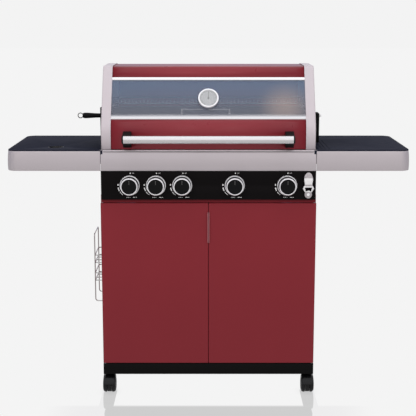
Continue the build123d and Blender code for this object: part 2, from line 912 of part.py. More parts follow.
def right_end_cap():
    band = lid_section(0) - lid_section(cap_sheet) - below_parting()
    cap = slab_x(band, lid_half - cap_band, lid_half)
    cap += slab_x(lid_section(0) - below_parting(), lid_half - cap_sheet, lid_half)
    near = lid_half - 2 * cap_sheet
    far = lid_half + cap_sheet
    cap -= rod_x(notch_r, near, far, spit_y, spit_z)
    return cap - block(near, far, spit_y - notch_r, spit_y + notch_rear, spit_z - notch_drop, spit_z)


def lid_skin():
    return lid_section(skin_depth) - lid_section(skin_depth + skin_sheet)


def skin_half():
    return lid_half - cap_band + trim_lap


def lid_lower_panel():
    cut = lower_trim_s + trim_width / 2 - trim_lap / 2
    skin = lid_skin() & lean_strip(-2 * lid_bend, cut, -2 * lid_bend, lid_bend)
    panel = slab_x(skin, -skin_half(), skin_half())
    front = lid_front + skin_depth
    return panel + block(-skin_half(), skin_half(), front, front + rim_return, lid_rim, lid_rim + skin_sheet)


def lid_top_panel():
    cut = upper_trim_s + upper_trim_width / 2 + trim_lap / 2
    skin = lid_skin() - lean_strip(-2 * lid_bend, cut, -2 * lid_bend, lid_bend) - below_parting()
    panel = slab_x(skin, -skin_half(), skin_half())
    rear = lid_rear - skin_depth
    shelf_z = hinge_z + leaf_rise
    for side in (-1, 1):
        x0 = side * hinge_x - barrel_half
        x1 = side * hinge_x + barrel_half
        panel += block(x0, x1, rear, rear + leaf_sheet, shelf_z, shelf_z + leaf_height)
        panel += block(x0, x1, rear, hinge_y + barrel_r / 2, shelf_z, shelf_z + leaf_sheet)
        panel += block(x0, x1, hinge_y - barrel_r / 2, hinge_y + barrel_r / 2, hinge_z, shelf_z + leaf_sheet)
        panel += rod_x(barrel_r, x0, x1, hinge_y, hinge_z)
        panel -= rod_x(hinge_pin_r + run_fit, x0 - sheet, x1 + sheet, hinge_y, hinge_z)
    return panel


def lid_glass():
    s0 = lower_trim_s + trim_width - glass_lap
    s1 = upper_trim_s + glass_lap
    pane = slab_x(lean_strip(s0, s1, -skin_depth - glass_sheet, -skin_depth), -skin_half(), skin_half())
    hole = gauge_plane() * Pos(0, 0, -glass_sheet / 2) * Cylinder(gauge_hole_r, 2 * glass_sheet)
    return pane - hole


def lid_trim(s0, width):
    half = lid_half - cap_band - seat_fit
    return slab_x(lean_strip(s0, s0 + width, -skin_depth, 0), -half, half)


def gauge_plane():
    y, z = on_lean(gauge_s, -skin_depth)
    return Plane(origin=(0, y, z), x_dir=(1, 0, 0), z_dir=(0, -math.cos(lean), math.sin(lean)))


def thermometer():
    dial = gauge_depth - gauge_recess
    inner_r = gauge_r - gauge_rim
    case = Pos(0, 0, gauge_depth / 2) * Cylinder(gauge_r, gauge_depth)
    case -= Pos(0, 0, dial + gauge_recess / 2) * Cylinder(inner_r, gauge_recess)
    case += Pos(0, 0, -probe_length / 2) * Cylinder(probe_r, probe_length)
    case += Pos(0, 0, -glass_sheet - gauge_nut / 2) * Cylinder(gauge_nut_r, gauge_nut)
    hand = Pos(0, inner_r / 3, dial + lens_thick / 2) * Box(hand_width, inner_r, lens_thick)
    lens = Pos(0, 0, gauge_depth - lens_thick / 2) * Cylinder(inner_r - seat_fit / 3, lens_thick)
    return [gauge_plane() * shape for shape in (case, hand, lens)]


def lid_handle():
    tube = rod_x(handle_r, -handle_half, handle_half, handle_y, handle_z)
    return tube - rod_x(handle_r - handle_wall, -handle_half - sheet, handle_half + sheet, handle_y, handle_z)


def right_handle_bracket():
    panel_y = lid_front + skin_depth
    side = outline([(panel_y, handle_z - bracket_low), (handle_y, handle_z - handle_r / 2),
                    (handle_y, handle_z + handle_r / 2), (panel_y, handle_z + bracket_high)])
    bracket = slab_x(side, bracket_x0, bracket_x1)
    return bracket - rod_x(handle_r + run_fit, bracket_x0 - sheet, bracket_x1 + sheet, handle_y, handle_z)


def lid_hinge(side):
    side_x = side * hinge_x
    ear = outline([(firebox_rear, rim_rear - 4 * hinge_lug_r), (firebox_rear, rim_rear - hinge_lug_r),
                   (hinge_y - hinge_lug_r, hinge_z), (hinge_y, hinge_z + hinge_lug_r),
                   (hinge_y + hinge_lug_r, hinge_z), (hinge_y, hinge_z - hinge_lug_r)])
    ear += Pos(hinge_y, hinge_z) * Circle(hinge_lug_r)
    inner = barrel_half + lug_gap
    outer = inner + lug_thick
    lugs = slab_x(ear, side_x - outer, side_x - inner) + slab_x(ear, side_x + inner, side_x + outer)
    lugs += block(side_x - outer, side_x + outer, firebox_rear, firebox_rear + leaf_sheet,
                  rim_rear - 4 * hinge_lug_r, rim_rear - hinge_lug_r)
    return lugs + rod_x(hinge_pin_r, side_x - outer, side_x + outer, hinge_y, hinge_z)


# Rotisserie spit, its grip, forks and the two brackets
def spit_rod():
    return rod_x(spit_r, spit_left, spit_right, spit_y, spit_z)


def spit_handle():
    end = spit_left - grip_length
    half = outline([(0, 0), (grip_small_r, 0), (grip_big_r, -grip_swell), (grip_end_r, -grip_length),
                    (0, -grip_length)])
    grip = Pos(spit_left, spit_y, spit_z) * Rot(0, 0, -90) * revolve(half, Axis.Y)
    ring = Pos(end - ring_r, spit_y, spit_z) * Rot(90, 0, 0) * Torus(ring_r, ring_wire)
    return grip + ring


def spit_fork(x, facing):
    collar = rod_x(fork_collar_r, x - fork_collar / 2, x + fork_collar / 2, spit_y, spit_z)
    fork = collar + block(x - fork_bar / 2, x + fork_bar / 2, spit_y - fork_bar, spit_y + fork_bar,
                          spit_z - fork_spread, spit_z + fork_spread)
    for rise in (fork_prong_r - fork_spread, fork_spread - fork_prong_r):
        fork += rod_x(fork_prong_r, x, x + facing * fork_prong, spit_y, spit_z + rise)
    fork += rod_y(screw_r, x, spit_y - screw_reach, spit_y, spit_z)
    fork += rod_y(screw_head_r, x, spit_y - screw_reach, spit_y - screw_reach + screw_r, spit_z)
    return fork - rod_x(spit_r + run_fit, x - fork_collar, x + fork_collar, spit_y, spit_z)


def left_spit_bracket():
    y0 = spit_y - bracket_half
    y1 = spit_y + bracket_half
    outer = -firebox_half - bracket_reach
    plate = block(outer, outer + bracket_sheet, y0, y1, bracket_base, bracket_top)
    plate += block(outer, -firebox_half, y0, y1, bracket_base, bracket_base + bracket_sheet)
    plate += block(-firebox_half - bracket_sheet, -firebox_half, y0, y1, bracket_base, bracket_foot_top)
    slot_half = spit_r + spit_fit
    plate -= rod_x(slot_half, outer - sheet, outer + 2 * bracket_sheet, spit_y, spit_z)
    return plate - block(outer - sheet, outer + 2 * bracket_sheet, spit_y - slot_half, spit_y + slot_half,
                         spit_z, bracket_top + sheet)


def motor_bracket():
    y0 = spit_y - bracket_half
    y1 = y0 + motor_depth
    outer = firebox_half + motor_reach
    plate = block(outer - bracket_sheet, outer, y0, y1, bracket_base, motor_top)
    plate += block(firebox_half, outer, y0, y1, bracket_base, bracket_base + bracket_sheet)
    plate += block(firebox_half, firebox_half + bracket_sheet, y0, y1, bracket_base, bracket_foot_top)
    inner = lid_half + 2 * cap_sheet
    front = outline([(inner, bracket_base), (outer, bracket_base), (outer, motor_top - motor_chamfer),
                     (outer - motor_chamfer, motor_top), (inner, motor_top)])
    plate += slab_y(front, y0 - bracket_sheet, y0)
    clear = motor_chamfer + sheet
    corner = outline([(outer + sheet - clear, motor_top + sheet), (outer + sheet, motor_top + sheet),
                      (outer + sheet, motor_top + sheet - clear)])
    plate -= slab_y(corner, y0 - 2 * bracket_sheet, y1 + sheet)
    return plate - rod_x(spit_r + spit_fit, outer - 2 * bracket_sheet, outer + sheet, spit_y, spit_z)


# Two-tier wire rack hooked on the left side panel
def spice_rack():
    near = -body_half
    far = near - spice_reach
    frame = [(near, spice_front, spice_bottom), (far, spice_front, spice_bottom), (far, spice_front, spice_top),
             (far, spice_rear, spice_top), (far, spice_rear, spice_bottom), (near, spice_rear, spice_bottom)]
    rack = wire(frame, spice_wire, spice_bend)
    hoops = []
    step = spice_length / (spice_floor_wires + 1)
    for drop in spice_tier_drops:
        rim = spice_top - drop
        floor = rim - spice_tier_depth
        for z in (rim, floor):
            hoop = [(near, spice_front, z), (far, spice_front, z), (far, spice_rear, z), (near, spice_rear, z)]
            hoops.append(wire(hoop, spice_wire, spice_bend))
        for n in range(spice_floor_wires):
            hoops.append(rod_x(spice_wire, far, near, spice_front + (n + 1) * step, floor))
    return rack + hoops


# Every piece written to its own file
os.makedirs("parts", exist_ok=True)
save("base_tray", base_tray())
save("side_panel_right", right_side_panel())
save("side_panel_left", other_side(right_side_panel()))
save("back_panel", back_panel())
save("front_rail", front_rail())
save("door_right", right_door())
save("door_left", other_side(right_door()))
save("door_pull_right", right_door_pull())
save("door_pull_left", other_side(right_door_pull()))
right_pins = right_door_pins()
save("door_hinge_pins", *right_pins, *[other_side(pin) for pin in right_pins])
for number, (place_x, place_y) in enumerate(caster_places(), 1):
    save(f"caster_hood_{number}", caster_hood(place_x, place_y))
    save(f"caster_wheels_{number}", *caster_wheel_pair(place_x, place_y))
save("firebox", firebox(), tray_runner(-1), tray_runner(1))
save("tube_burners", *[tube_burner(x) for x in burner_x])
save("flame_tamers", *[flame_tamer(x) for x in burner_x])
grate_half = firebox_half - sheet - grate_clear
save("cooking_grates", cooking_grate(-grate_half, -seam / 2), cooking_grate(seam / 2, grate_half))
save("warming_rack", warming_rack())
save("rear_burner", *rear_burner())
save("gas_manifold", gas_manifold())
save("gas_valves", *[gas_valve(x) for x in knob_x])
save("grease_tray", grease_tray())
save("grease_cup", grease_cup())
save("control_panel", control_panel())
save("knob_bezels", *[knob_bezel(x) for x in knob_x])
for number, place_x in enumerate(knob_x, 1):
    save(f"valve_stem_{number}", valve_stem(place_x))
    save(f"knob_{number}", knob(place_x))
save("bottle_opener", bottle_opener())
save("center_fascia", center_fascia())
save("shelf_right", right_shelf())
save("shelf_left", left_shelf())
save("fascia_right", right_fascia())
save("fascia_left", other_side(right_fascia()))
save("lid_lower_panel", lid_lower_panel())
save("lid_top_panel", lid_top_panel())
save("lid_glass", lid_glass())
save("lid_trims", lid_trim(lower_trim_s, trim_width), lid_trim(upper_trim_s, upper_trim_width))
save("lid_end_caps", right_end_cap(), other_side(right_end_cap()))
save("lid_handle", lid_handle())
save("handle_brackets", right_handle_bracket(), other_side(right_handle_bracket()))
save("thermometer", *thermometer())
save("lid_hinges", lid_hinge(-1), lid_hinge(1))
save("spit_rod", spit_rod())
save("spit_handle", spit_handle())
save("spit_forks", spit_fork(fork_x[0], 1), spit_fork(fork_x[1], -1))
save("spit_brackets", left_spit_bracket(), motor_bracket())
save("spice_rack", spice_rack())
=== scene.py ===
import math

import bmesh
import bpy
from mathutils import Matrix, Vector


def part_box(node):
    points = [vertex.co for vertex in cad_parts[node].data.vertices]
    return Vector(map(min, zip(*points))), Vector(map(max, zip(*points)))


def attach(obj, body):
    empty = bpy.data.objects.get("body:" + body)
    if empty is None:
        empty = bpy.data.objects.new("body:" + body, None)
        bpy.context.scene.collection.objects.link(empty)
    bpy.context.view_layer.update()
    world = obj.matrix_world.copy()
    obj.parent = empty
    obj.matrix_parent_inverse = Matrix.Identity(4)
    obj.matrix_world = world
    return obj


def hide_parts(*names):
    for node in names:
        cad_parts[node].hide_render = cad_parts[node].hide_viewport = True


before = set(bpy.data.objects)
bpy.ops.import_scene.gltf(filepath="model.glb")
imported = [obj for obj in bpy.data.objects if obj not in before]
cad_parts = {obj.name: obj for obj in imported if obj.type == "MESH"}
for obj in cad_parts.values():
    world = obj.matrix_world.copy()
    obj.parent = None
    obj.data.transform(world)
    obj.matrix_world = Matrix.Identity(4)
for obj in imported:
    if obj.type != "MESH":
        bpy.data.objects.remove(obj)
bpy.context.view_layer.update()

# Studio: a pale, faintly glossy floor in a plain white room, with one broad soft light overhead and two in front.
# The camera looks slightly down on the grill from almost four metres away.
scene = bpy.context.scene
scene.view_settings.view_transform = "Standard"
camera_data = bpy.data.cameras.new("camera")
camera_data.lens = 90.0
camera_data.sensor_width = 36.0
camera = bpy.data.objects.new("camera", camera_data)
camera.location = (-0.0015, -3.7973, 1.3612)
camera.rotation_euler = (math.radians(90.0 - 10.513), 0.0, 0.0)
scene.collection.objects.link(camera)
scene.camera = camera


def soft_light(name, place, aim, size, power, colour):
    lamp = bpy.data.lights.new(name, "AREA")
    lamp.shape = "RECTANGLE"
    lamp.size, lamp.size_y = size
    lamp.energy = power
    lamp.color = colour
    holder = bpy.data.objects.new(name, lamp)
    holder.location = place
    holder.rotation_euler = (Vector(aim) - Vector(place)).to_track_quat("-Z", "Y").to_euler()
    holder.visible_glossy = False
    scene.collection.objects.link(holder)


soft_light("overhead", (0.0, -0.5, 3.1), (0.0, 0.0, 0.9), (3.2, 2.0), 29.0, (0.94, 0.97, 1.0))
soft_light("front_left", (-1.5, -3.4, 2.5), (0.0, 0.0, 0.7), (1.4, 1.8), 34.5, (1.0, 0.98, 0.96))
soft_light("front_right", (1.5, -3.4, 2.3), (0.0, 0.0, 0.7), (1.4, 1.8), 34.5, (1.0, 0.97, 0.95))


def placed(tree, kind, given=(), **settings):
    made = tree.nodes.new(kind if kind.startswith("Geometry") else "ShaderNode" + kind)
    for label, value in settings.items():
        setattr(made, label, value)
    for socket, value in dict(given).items():
        if isinstance(value, bpy.types.NodeSocket):
            tree.links.new(value, made.inputs[socket])
        else:
            made.inputs[socket].default_value = value
    return made


def joined(tree, operation, first, second):
    return placed(tree, "Math", {0: first, 1: second}, operation=operation).outputs[0]


def size_of(tree, value):
    return placed(tree, "Math", {0: value}, operation="ABSOLUTE").outputs[0]


def ranged(tree, value, start=0.0, end=1.0, low=0.0, high=1.0, shape="LINEAR"):
    limits = {"Value": value, "From Min": start, "From Max": end, "To Min": low, "To Max": high}
    return placed(tree, "MapRange", limits, interpolation_type=shape).outputs["Result"]


room = bpy.data.worlds.new("room")
room.use_nodes = True
scene.world = room
tree = room.node_tree
seen = placed(tree, "LightPath").outputs
aim = placed(tree, "SeparateXYZ", {0: placed(tree, "TexCoord").outputs["Generated"]}).outputs
ceiling = placed(tree, "ValToRGB", {"Fac": ranged(tree, aim["Z"], -1.0)})
shades = [(0.0, (0.7, 0.7, 0.7)), (0.5, (0.94, 0.92, 0.94)), (0.60, (1.0, 0.98, 1.0)), (0.85, (1.16, 1.17, 1.20)),
          (1.0, (1.16, 1.18, 1.22))]
while len(ceiling.color_ramp.elements) < len(shades):
    ceiling.color_ramp.elements.new(0.5)
for stop, (place, shade) in zip(ceiling.color_ramp.elements, shades):
    stop.position = place
    stop.color = (*shade, 1.0)
behind = ranged(tree, aim["Y"], 0.945, 0.985)
beside = ranged(tree, size_of(tree, aim["X"]), 0.25, 0.95)
far_wall = joined(tree, "MULTIPLY", joined(tree, "MAXIMUM", behind, beside), ranged(tree, aim["Z"], 0.22, 0.14))
dusk = placed(tree, "Mix", {"Factor": far_wall, "A": ceiling.outputs["Color"], "B": (0.24, 0.26, 0.42, 1.0)},
              data_type="RGBA")
fill = placed(tree, "Background", {"Color": (0.97, 0.98, 1.0, 1.0), "Strength": 0.36})
mirrored = placed(tree, "Background", {"Color": dusk.outputs["Result"]})
wall = placed(tree, "Background", {"Color": (0.896, 0.896, 0.896, 1.0)})
unseen = placed(tree, "MixShader", {0: seen["Is Glossy Ray"], 1: fill.outputs[0], 2: mirrored.outputs[0]})
whole = placed(tree, "MixShader", {0: seen["Is Camera Ray"], 1: unseen.outputs[0], 2: wall.outputs[0]})
tree.links.new(whole.outputs[0], tree.nodes["World Output"].inputs["Surface"])

floor_mesh = bpy.data.meshes.new("floor")
floor_half = 40.0
floor_mesh.from_pydata([(-floor_half, -floor_half, 0.0), (floor_half, -floor_half, 0.0),
                        (floor_half, floor_half, 0.0), (-floor_half, floor_half, 0.0)], [], [(0, 1, 2, 3)])
floor = bpy.data.objects.new("floor", floor_mesh)
scene.collection.objects.link(floor)
floor_paint = bpy.data.materials.new("pale_floor")
floor_paint.use_nodes = True
tree = floor_paint.node_tree
tree.nodes.remove(tree.nodes["Principled BSDF"])
wheel_line, wheel_strip, polish_most = 0.362, 0.026, 0.28
seen = placed(tree, "LightPath").outputs
spot = placed(tree, "SeparateXYZ", {0: placed(tree, "TexCoord").outputs["Object"]}).outputs
aside = size_of(tree, spot["X"])
strip = placed(tree, "Math", {0: aside, 1: wheel_line, 2: wheel_strip}, operation="COMPARE").outputs[0]
track = joined(tree, "MULTIPLY", strip, ranged(tree, spot["Y"], -0.130, -0.160, shape="SMOOTHSTEP"))
shiny = joined(tree, "MAXIMUM", ranged(tree, spot["Y"], -0.292, -0.316, shape="SMOOTHSTEP"), track)
across = ranged(tree, aside, 0.60, 0.42, shape="SMOOTHSTEP")
patch = joined(tree, "MULTIPLY", across, ranged(tree, spot["Y"], -0.90, -0.50, shape="SMOOTHSTEP"))
polish = joined(tree, "MULTIPLY", joined(tree, "MULTIPLY", shiny, patch), polish_most)
power = joined(tree, "MULTIPLY", ranged(tree, seen["Is Camera Ray"], low=0.78),
               ranged(tree, seen["Is Glossy Ray"], low=1.0, high=0.80))
power = joined(tree, "MULTIPLY", power, ranged(tree, polish, end=polish_most, low=1.0, high=0.94))
# The floor glows evenly; an ambient-occlusion mask darkens its glow close to the wheels and base as a painted contact
# shadow.
painted_contact_shade = placed(tree, "AmbientOcclusion", {"Distance": 0.03}, samples=8)
glow = placed(tree, "Emission", {"Color": ranged(tree, painted_contact_shade.outputs["AO"], low=0.80, high=0.905), "Strength": power})
gloss = placed(tree, "BsdfGlossy", {"Roughness": 0.05})
both = placed(tree, "MixShader", {0: polish, 1: glow.outputs[0], 2: gloss.outputs[0]})
tree.links.new(both.outputs[0], tree.nodes["Material Output"].inputs["Surface"])
floor_mesh.materials.append(floor_paint)


# Base tray: a black powder-coated steel pan that carries the cabinet, folded from sheet and welded at its corners.
# Its edges are the radius of the fold, and the coating has a fine orange-peel skin.
def node_group(name, inputs, outputs):
    tree = bpy.data.node_groups.new(name, "ShaderNodeTree")
    for label, kind, value in inputs:
        socket = tree.interface.new_socket(label, in_out="INPUT", socket_type=kind)
        socket.default_value = value
    for label, kind in outputs:
        tree.interface.new_socket(label, in_out="OUTPUT", socket_type=kind)
    return tree, tree.nodes.new("NodeGroupInput"), tree.nodes.new("NodeGroupOutput")


def grained_noise(tree, source, scale, detail):
    spread = placed(tree, "VectorMath", {0: source, 1: scale}, operation="MULTIPLY").outputs[0]
    return placed(tree, "TexNoise", {"Vector": spread, "Scale": 1.0, "Detail": detail}).outputs["Fac"]


def spread_of(tree, noise, middle, amount):
    centred = joined(tree, "SUBTRACT", noise, 0.5)
    return placed(tree, "Math", {0: centred, 1: amount, 2: middle}, operation="MULTIPLY_ADD").outputs[0]


def surface_skin():
    tree, given, made = node_group(
        "surface_skin",
        [("Color", "NodeSocketColor", (0.5, 0.5, 0.5, 1.0)), ("Tone spread", "NodeSocketFloat", 0.1),
         ("Tone scale", "NodeSocketVector", (5.0, 5.0, 5.0)), ("Roughness", "NodeSocketFloat", 0.4),
         ("Roughness spread", "NodeSocketFloat", 0.15), ("Skin scale", "NodeSocketVector", (900.0, 900.0, 900.0)),
         ("Skin height", "NodeSocketFloat", 0.1)],
        [("Color", "NodeSocketColor"), ("Roughness", "NodeSocketFloat"), ("Normal", "NodeSocketVector")])
    given = given.outputs
    place = placed(tree, "TexCoord").outputs["Object"]
    tone = grained_noise(tree, place, given["Tone scale"], 4.0)
    smear = grained_noise(tree, place, (31.0, 31.0, 31.0), 5.0)
    skin = grained_noise(tree, place, given["Skin scale"], 2.0)
    tint = placed(tree, "VectorMath", {0: given["Color"], "Scale": spread_of(tree, tone, 1.0, given["Tone spread"])},
                  operation="SCALE")
    rough = spread_of(tree, smear, given["Roughness"], given["Roughness spread"])
    bump = placed(tree, "Bump", {"Distance": 0.0005, "Height": skin, "Strength": given["Skin height"]})
    for label, value in (("Color", tint.outputs[0]), ("Roughness", rough), ("Normal", bump.outputs[0])):
        tree.links.new(value, made.inputs[label])
    return tree


skin_group = surface_skin()


def finish(name, colour, tone, rough, skin, **sockets):
    material = bpy.data.materials.new(name)
    material.use_nodes = True
    shader = material.node_tree.nodes["Principled BSDF"]
    group = placed(material.node_tree, "Group", node_tree=skin_group)
    given = {"Color": (*colour, 1.0), "Tone spread": tone[0], "Tone scale": tone[1], "Roughness": rough[0],
             "Roughness spread": rough[1], "Skin height": skin[0], "Skin scale": skin[1]}
    for label, value in given.items():
        even = label.endswith("scale") and isinstance(value, float)
        group.inputs[label].default_value = (value,) * 3 if even else value
    for label, target in (("Color", "Base Color"), ("Roughness", "Roughness"), ("Normal", "Normal")):
        material.node_tree.links.new(group.outputs[label], shader.inputs[target])
    for label, value in sockets.items():
        shader.inputs[label.replace("_", " ")].default_value = value
    return material


def powder_coat(name, colour, rough, peel=0.10, **sockets):
    return finish(name, colour, (0.10, 4.0), (rough, 0.14), (peel, 700.0), **sockets)


def piece_of(name, shape, *materials, crease=35.0):
    mesh = bpy.data.meshes.new(name)
    shape.to_mesh(mesh)
    shape.free()
    for material in materials:
        mesh.materials.append(material)
    mesh.polygons.foreach_set("use_smooth", [True] * len(mesh.polygons))
    mesh.set_sharp_from_angle(angle=math.radians(crease))
    piece = bpy.data.objects.new(name, mesh)
    scene.collection.objects.link(piece)
    return piece


def fitted(piece, body, slot, *nodes):
    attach(piece, body)
    if nodes:
        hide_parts(*nodes)
    return piece


def softened(shape, width, steps=2, sharp=35.0):
    edges = [e for e in shape.edges if len(e.link_faces) == 2 and e.calc_face_angle(0.0) > math.radians(sharp)]
    bmesh.ops.bevel(shape, geom=edges, offset=width, offset_type="OFFSET", segments=steps, profile=0.5,
                    affect="EDGES", clamp_overlap=True)
    return shape


def cad_shape(node):
    shape = bmesh.new()
    shape.from_mesh(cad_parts[node].data)
    bmesh.ops.remove_doubles(shape, verts=shape.verts, dist=1e-6)
    bmesh.ops.dissolve_limit(shape, angle_limit=math.radians(0.6), verts=shape.verts, edges=shape.edges)
    return shape


def folded_sheet(node, width):
    return softened(cad_shape(node), width)


black_coat = powder_coat("black_powder_coat", (0.0060, 0.0057, 0.0057), 0.42, Specular_IOR_Level=0.045)
fitted(piece_of("base_pan", folded_sheet("base_tray", 0.0009), black_coat), "trolley", "black_paint", "base_tray")


# Casters: black moulded twin wheels on a steel axle, under a hood that turns on a stem pressed into the base.
# The treads are barrel-shaped and the outer faces carry a shallow hub dish.
def turned(shape, profile, place, steps=40, closed=False):
    rings = []
    for radius, along in profile:
        if radius < 1e-7:
            rings.append([shape.verts.new(place @ Vector((0.0, 0.0, along)))])
            continue
        ring = []
        for n in range(steps):
            angle = 2.0 * math.pi * n / steps
            ring.append(shape.verts.new(place @ Vector((radius * math.cos(angle), radius * math.sin(angle), along))))
        rings.append(ring)
    pairs = list(zip(rings, rings[1:]))
    if closed:
        pairs.append((rings[-1], rings[0]))
    made = []
    for low, high in pairs:
        for n in range(steps):
            corners = [low[n % len(low)], low[(n + 1) % len(low)], high[(n + 1) % len(high)], high[n % len(high)]]
            corners = list(dict.fromkeys(corners))
            if len(corners) > 2:
                made.append(shape.faces.new(corners))
    bmesh.ops.recalc_face_normals(shape, faces=made)
    return made


def along_x(x, y, z, side=1.0):
    return Matrix.Translation((x, y, z)) @ Matrix.Rotation(side * math.pi / 2.0, 4, "Y")


def towards_front(x, y, z):
    return Matrix.Translation((x, y, z)) @ Matrix.Rotation(math.pi / 2.0, 4, "X")


def plain_box(low, high):
    box = bmesh.new()
    size = Vector(high) - Vector(low)
    middle = (Vector(high) + Vector(low)) / 2.0
    bmesh.ops.create_cube(box, size=1.0, matrix=Matrix.Translation(middle) @ Matrix.Diagonal((*size, 1.0)))
    return box


def rounded_box(shape, low, high, radius=0.001, steps=2):
    box = plain_box(low, high)
    if radius:
        softened(box, radius, steps)
    merged(shape, box)


def merged(shape, other):
    spare = bpy.data.meshes.new("spare")
    other.to_mesh(spare)
    other.free()
    shape.from_mesh(spare)
    bpy.data.meshes.remove(spare)


def settled(piece):
    view = bpy.context.evaluated_depsgraph_get()
    mesh = bpy.data.meshes.new_from_object(piece.evaluated_get(view))
    piece.modifiers.clear()
    old = piece.data
    piece.data = mesh
    bpy.data.meshes.remove(old)
    return piece


def walled(piece, thickness, outward=-1.0):
    wall = piece.modifiers.new("wall", "SOLIDIFY")
    wall.thickness = thickness
    wall.offset = outward
    wall.use_even_offset = True
    return settled(piece)


def taken_in(piece, *others):
    shape = bmesh.new()
    shape.from_mesh(piece.data)
    for other in others:
        slots = []
        for material in other.data.materials:
            if material.name not in piece.data.materials:
                piece.data.materials.append(material)
            slots.append(piece.data.materials.find(material.name))
        first = len(shape.faces)
        shape.from_mesh(other.data)
        shape.faces.ensure_lookup_table()
        for face in shape.faces[first:]:
            face.material_index = slots[face.material_index] if slots else 0
        bpy.data.objects.remove(other)
    shape.to_mesh(piece.data)
    shape.free()
    return piece


def skinned(shape, rows):
    grid = [[shape.verts.new(p) for p in row] for row in rows]
    for low, high in zip(grid, grid[1:]):
        for n in range(len(low) - 1):
            shape.faces.new([low[n], low[n + 1], high[n + 1], high[n]])
    return grid


wheel_r = 0.030
caster_trail = 0.018
caster_places = [(-0.362, -0.139), (0.362, -0.139), (-0.362, 0.160), (0.362, 0.160)]
tread_profile = [(0.0, 0.008), (0.0285, 0.009), (0.0298, 0.0103), (0.0300, 0.0130), (0.0294, 0.0165),
                 (0.0280, 0.0195), (0.0258, 0.0217), (0.0232, 0.0228), (0.0212, 0.0230), (0.0200, 0.0224),
                 (0.0190, 0.0212), (0.0098, 0.0206), (0.0088, 0.0214), (0.0080, 0.0224), (0.0, 0.0228)]
barrel = [(-0.0195, 0.0314), (-0.0185, 0.0326), (-0.0160, 0.0336), (-0.0110, 0.0343), (0.0, 0.0345),
          (0.0110, 0.0343), (0.0160, 0.0336), (0.0185, 0.0326), (0.0195, 0.0314)]
caster_plastic = finish("caster_plastic", (0.0045, 0.0045, 0.005), tone=(0.25, 60.0), rough=(0.32, 0.2),
                        skin=(0.08, 1500.0), Specular_IOR_Level=0.28)
for number, (x, y) in enumerate(caster_places, 1):
    axle_y = y - caster_trail
    wheels = bmesh.new()
    for side in (-1.0, 1.0):
        turned(wheels, tread_profile, along_x(x, axle_y, wheel_r, side), 56)
    turned(wheels, [(0.0, -0.0085), (0.004, -0.0085), (0.004, 0.0085), (0.0, 0.0085)],
           along_x(x, axle_y, wheel_r), 24)
    fitted(piece_of(f"twin_wheels_{number}", wheels, caster_plastic), f"wheels_{number}", "wheel_plastic",
           f"caster_wheels_{number}")
    dome = bmesh.new()
    rows = []
    for n in range(29):
        angle = math.radians(10.0 + 160.0 * n / 28)
        rows.append([(x + wide, axle_y + r * math.cos(angle), wheel_r + r * math.sin(angle)) for wide, r in barrel])
    skinned(dome, rows)
    shell = walled(piece_of(f"caster_hood_shell_{number}", dome, caster_plastic), 0.0026)
    hood = bmesh.new()
    web = [(0.0, -0.0068), (0.0280, -0.0068), (0.0285, -0.0062), (0.0285, 0.0062), (0.0280, 0.0068), (0.0, 0.0068)]
    turned(hood, web, along_x(x, axle_y, wheel_r), 48)
    rounded_box(hood, (x - 0.0068, axle_y - 0.022, wheel_r), (x + 0.0068, axle_y + 0.022, wheel_r + 0.026))
    neck = [(0.0, 0.0), (0.0085, 0.0), (0.009, 0.0006), (0.009, 0.0165), (0.0105, 0.0172), (0.0105, 0.0184),
            (0.0050, 0.0187), (0.0050, 0.0425), (0.0044, 0.0430), (0.0, 0.0430)]
    turned(hood, neck, Matrix.Translation((x, y, 0.056)), 32)
    fitted(taken_in(shell, piece_of("hood_body", hood, caster_plastic)), f"caster_{number}", "black_plastic",
           f"caster_hood_{number}")


# Cabinet: side panels, back panel and the narrow rail over the doors, all folded sheet steel.
# The sides wear the red coat of the doors and the rail a darker red, a painted shade for the shadow under the control
# panel's edge; the back is bare zinc sheet with pressed ribs.
red_coat = powder_coat("red_powder_coat", (0.222, 0.0205, 0.029), 0.40, 0.07, Specular_IOR_Level=0.16,
                       Coat_Weight=0.04, Coat_Roughness=0.12)
zinc_sheet = finish("zinc_sheet", (0.44, 0.44, 0.45), tone=(0.45, 55.0), rough=(0.46, 0.2), skin=(0.05, 260.0),
                    Metallic=1.0)
for side in ("left", "right"):
    node = f"side_panel_{side}"
    fitted(piece_of(f"cabinet_side_{side}", folded_sheet(node, 0.0008), red_coat), "trolley", "red_paint", node)
# The rail's darker red is painted shade: it stands in for the shadow under the control panel's lower edge.
rail_shade_red = powder_coat("rail_painted_shade_red_coat", (0.150, 0.0140, 0.0195), 0.45, 0.07, Specular_IOR_Level=0.08)
fitted(piece_of("rail_over_doors", folded_sheet("front_rail", 0.0008), rail_shade_red), "trolley", "red_paint",
       "front_rail")
back_low, back_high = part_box("back_panel")
back_face = back_high.y - 0.0002
rib_depth, rib_half, rib_flat, rib_start, rib_full = 0.0045, 0.020, 0.45, 0.04, 0.06
levels = [(back_low.z, 0.0)]
for share in (0.25, 0.5, 0.75):
    middle = back_low.z + share * (back_high.z - back_low.z)
    levels += [(middle - rib_half, 0.0), (middle - rib_half * rib_flat, rib_depth),
               (middle + rib_half * rib_flat, rib_depth), (middle + rib_half, 0.0)]
levels.append((back_high.z, 0.0))
back = bmesh.new()
skinned(back, [[(back_high.x, back_face, z), (back_high.x - rib_start, back_face, z),
                (back_high.x - rib_full, back_face - pressed, z), (back_low.x + rib_full, back_face - pressed, z),
                (back_low.x + rib_start, back_face, z), (back_low.x, back_face, z)] for z, pressed in levels])
bmesh.ops.recalc_face_normals(back, faces=back.faces)
softened(back, 0.003, 2, 8.0)
back_sheet = piece_of("cabinet_back", back, zinc_sheet, crease=50.0)
fitted(walled(back_sheet, 0.0014), "trolley", "zinc_steel", "back_panel")
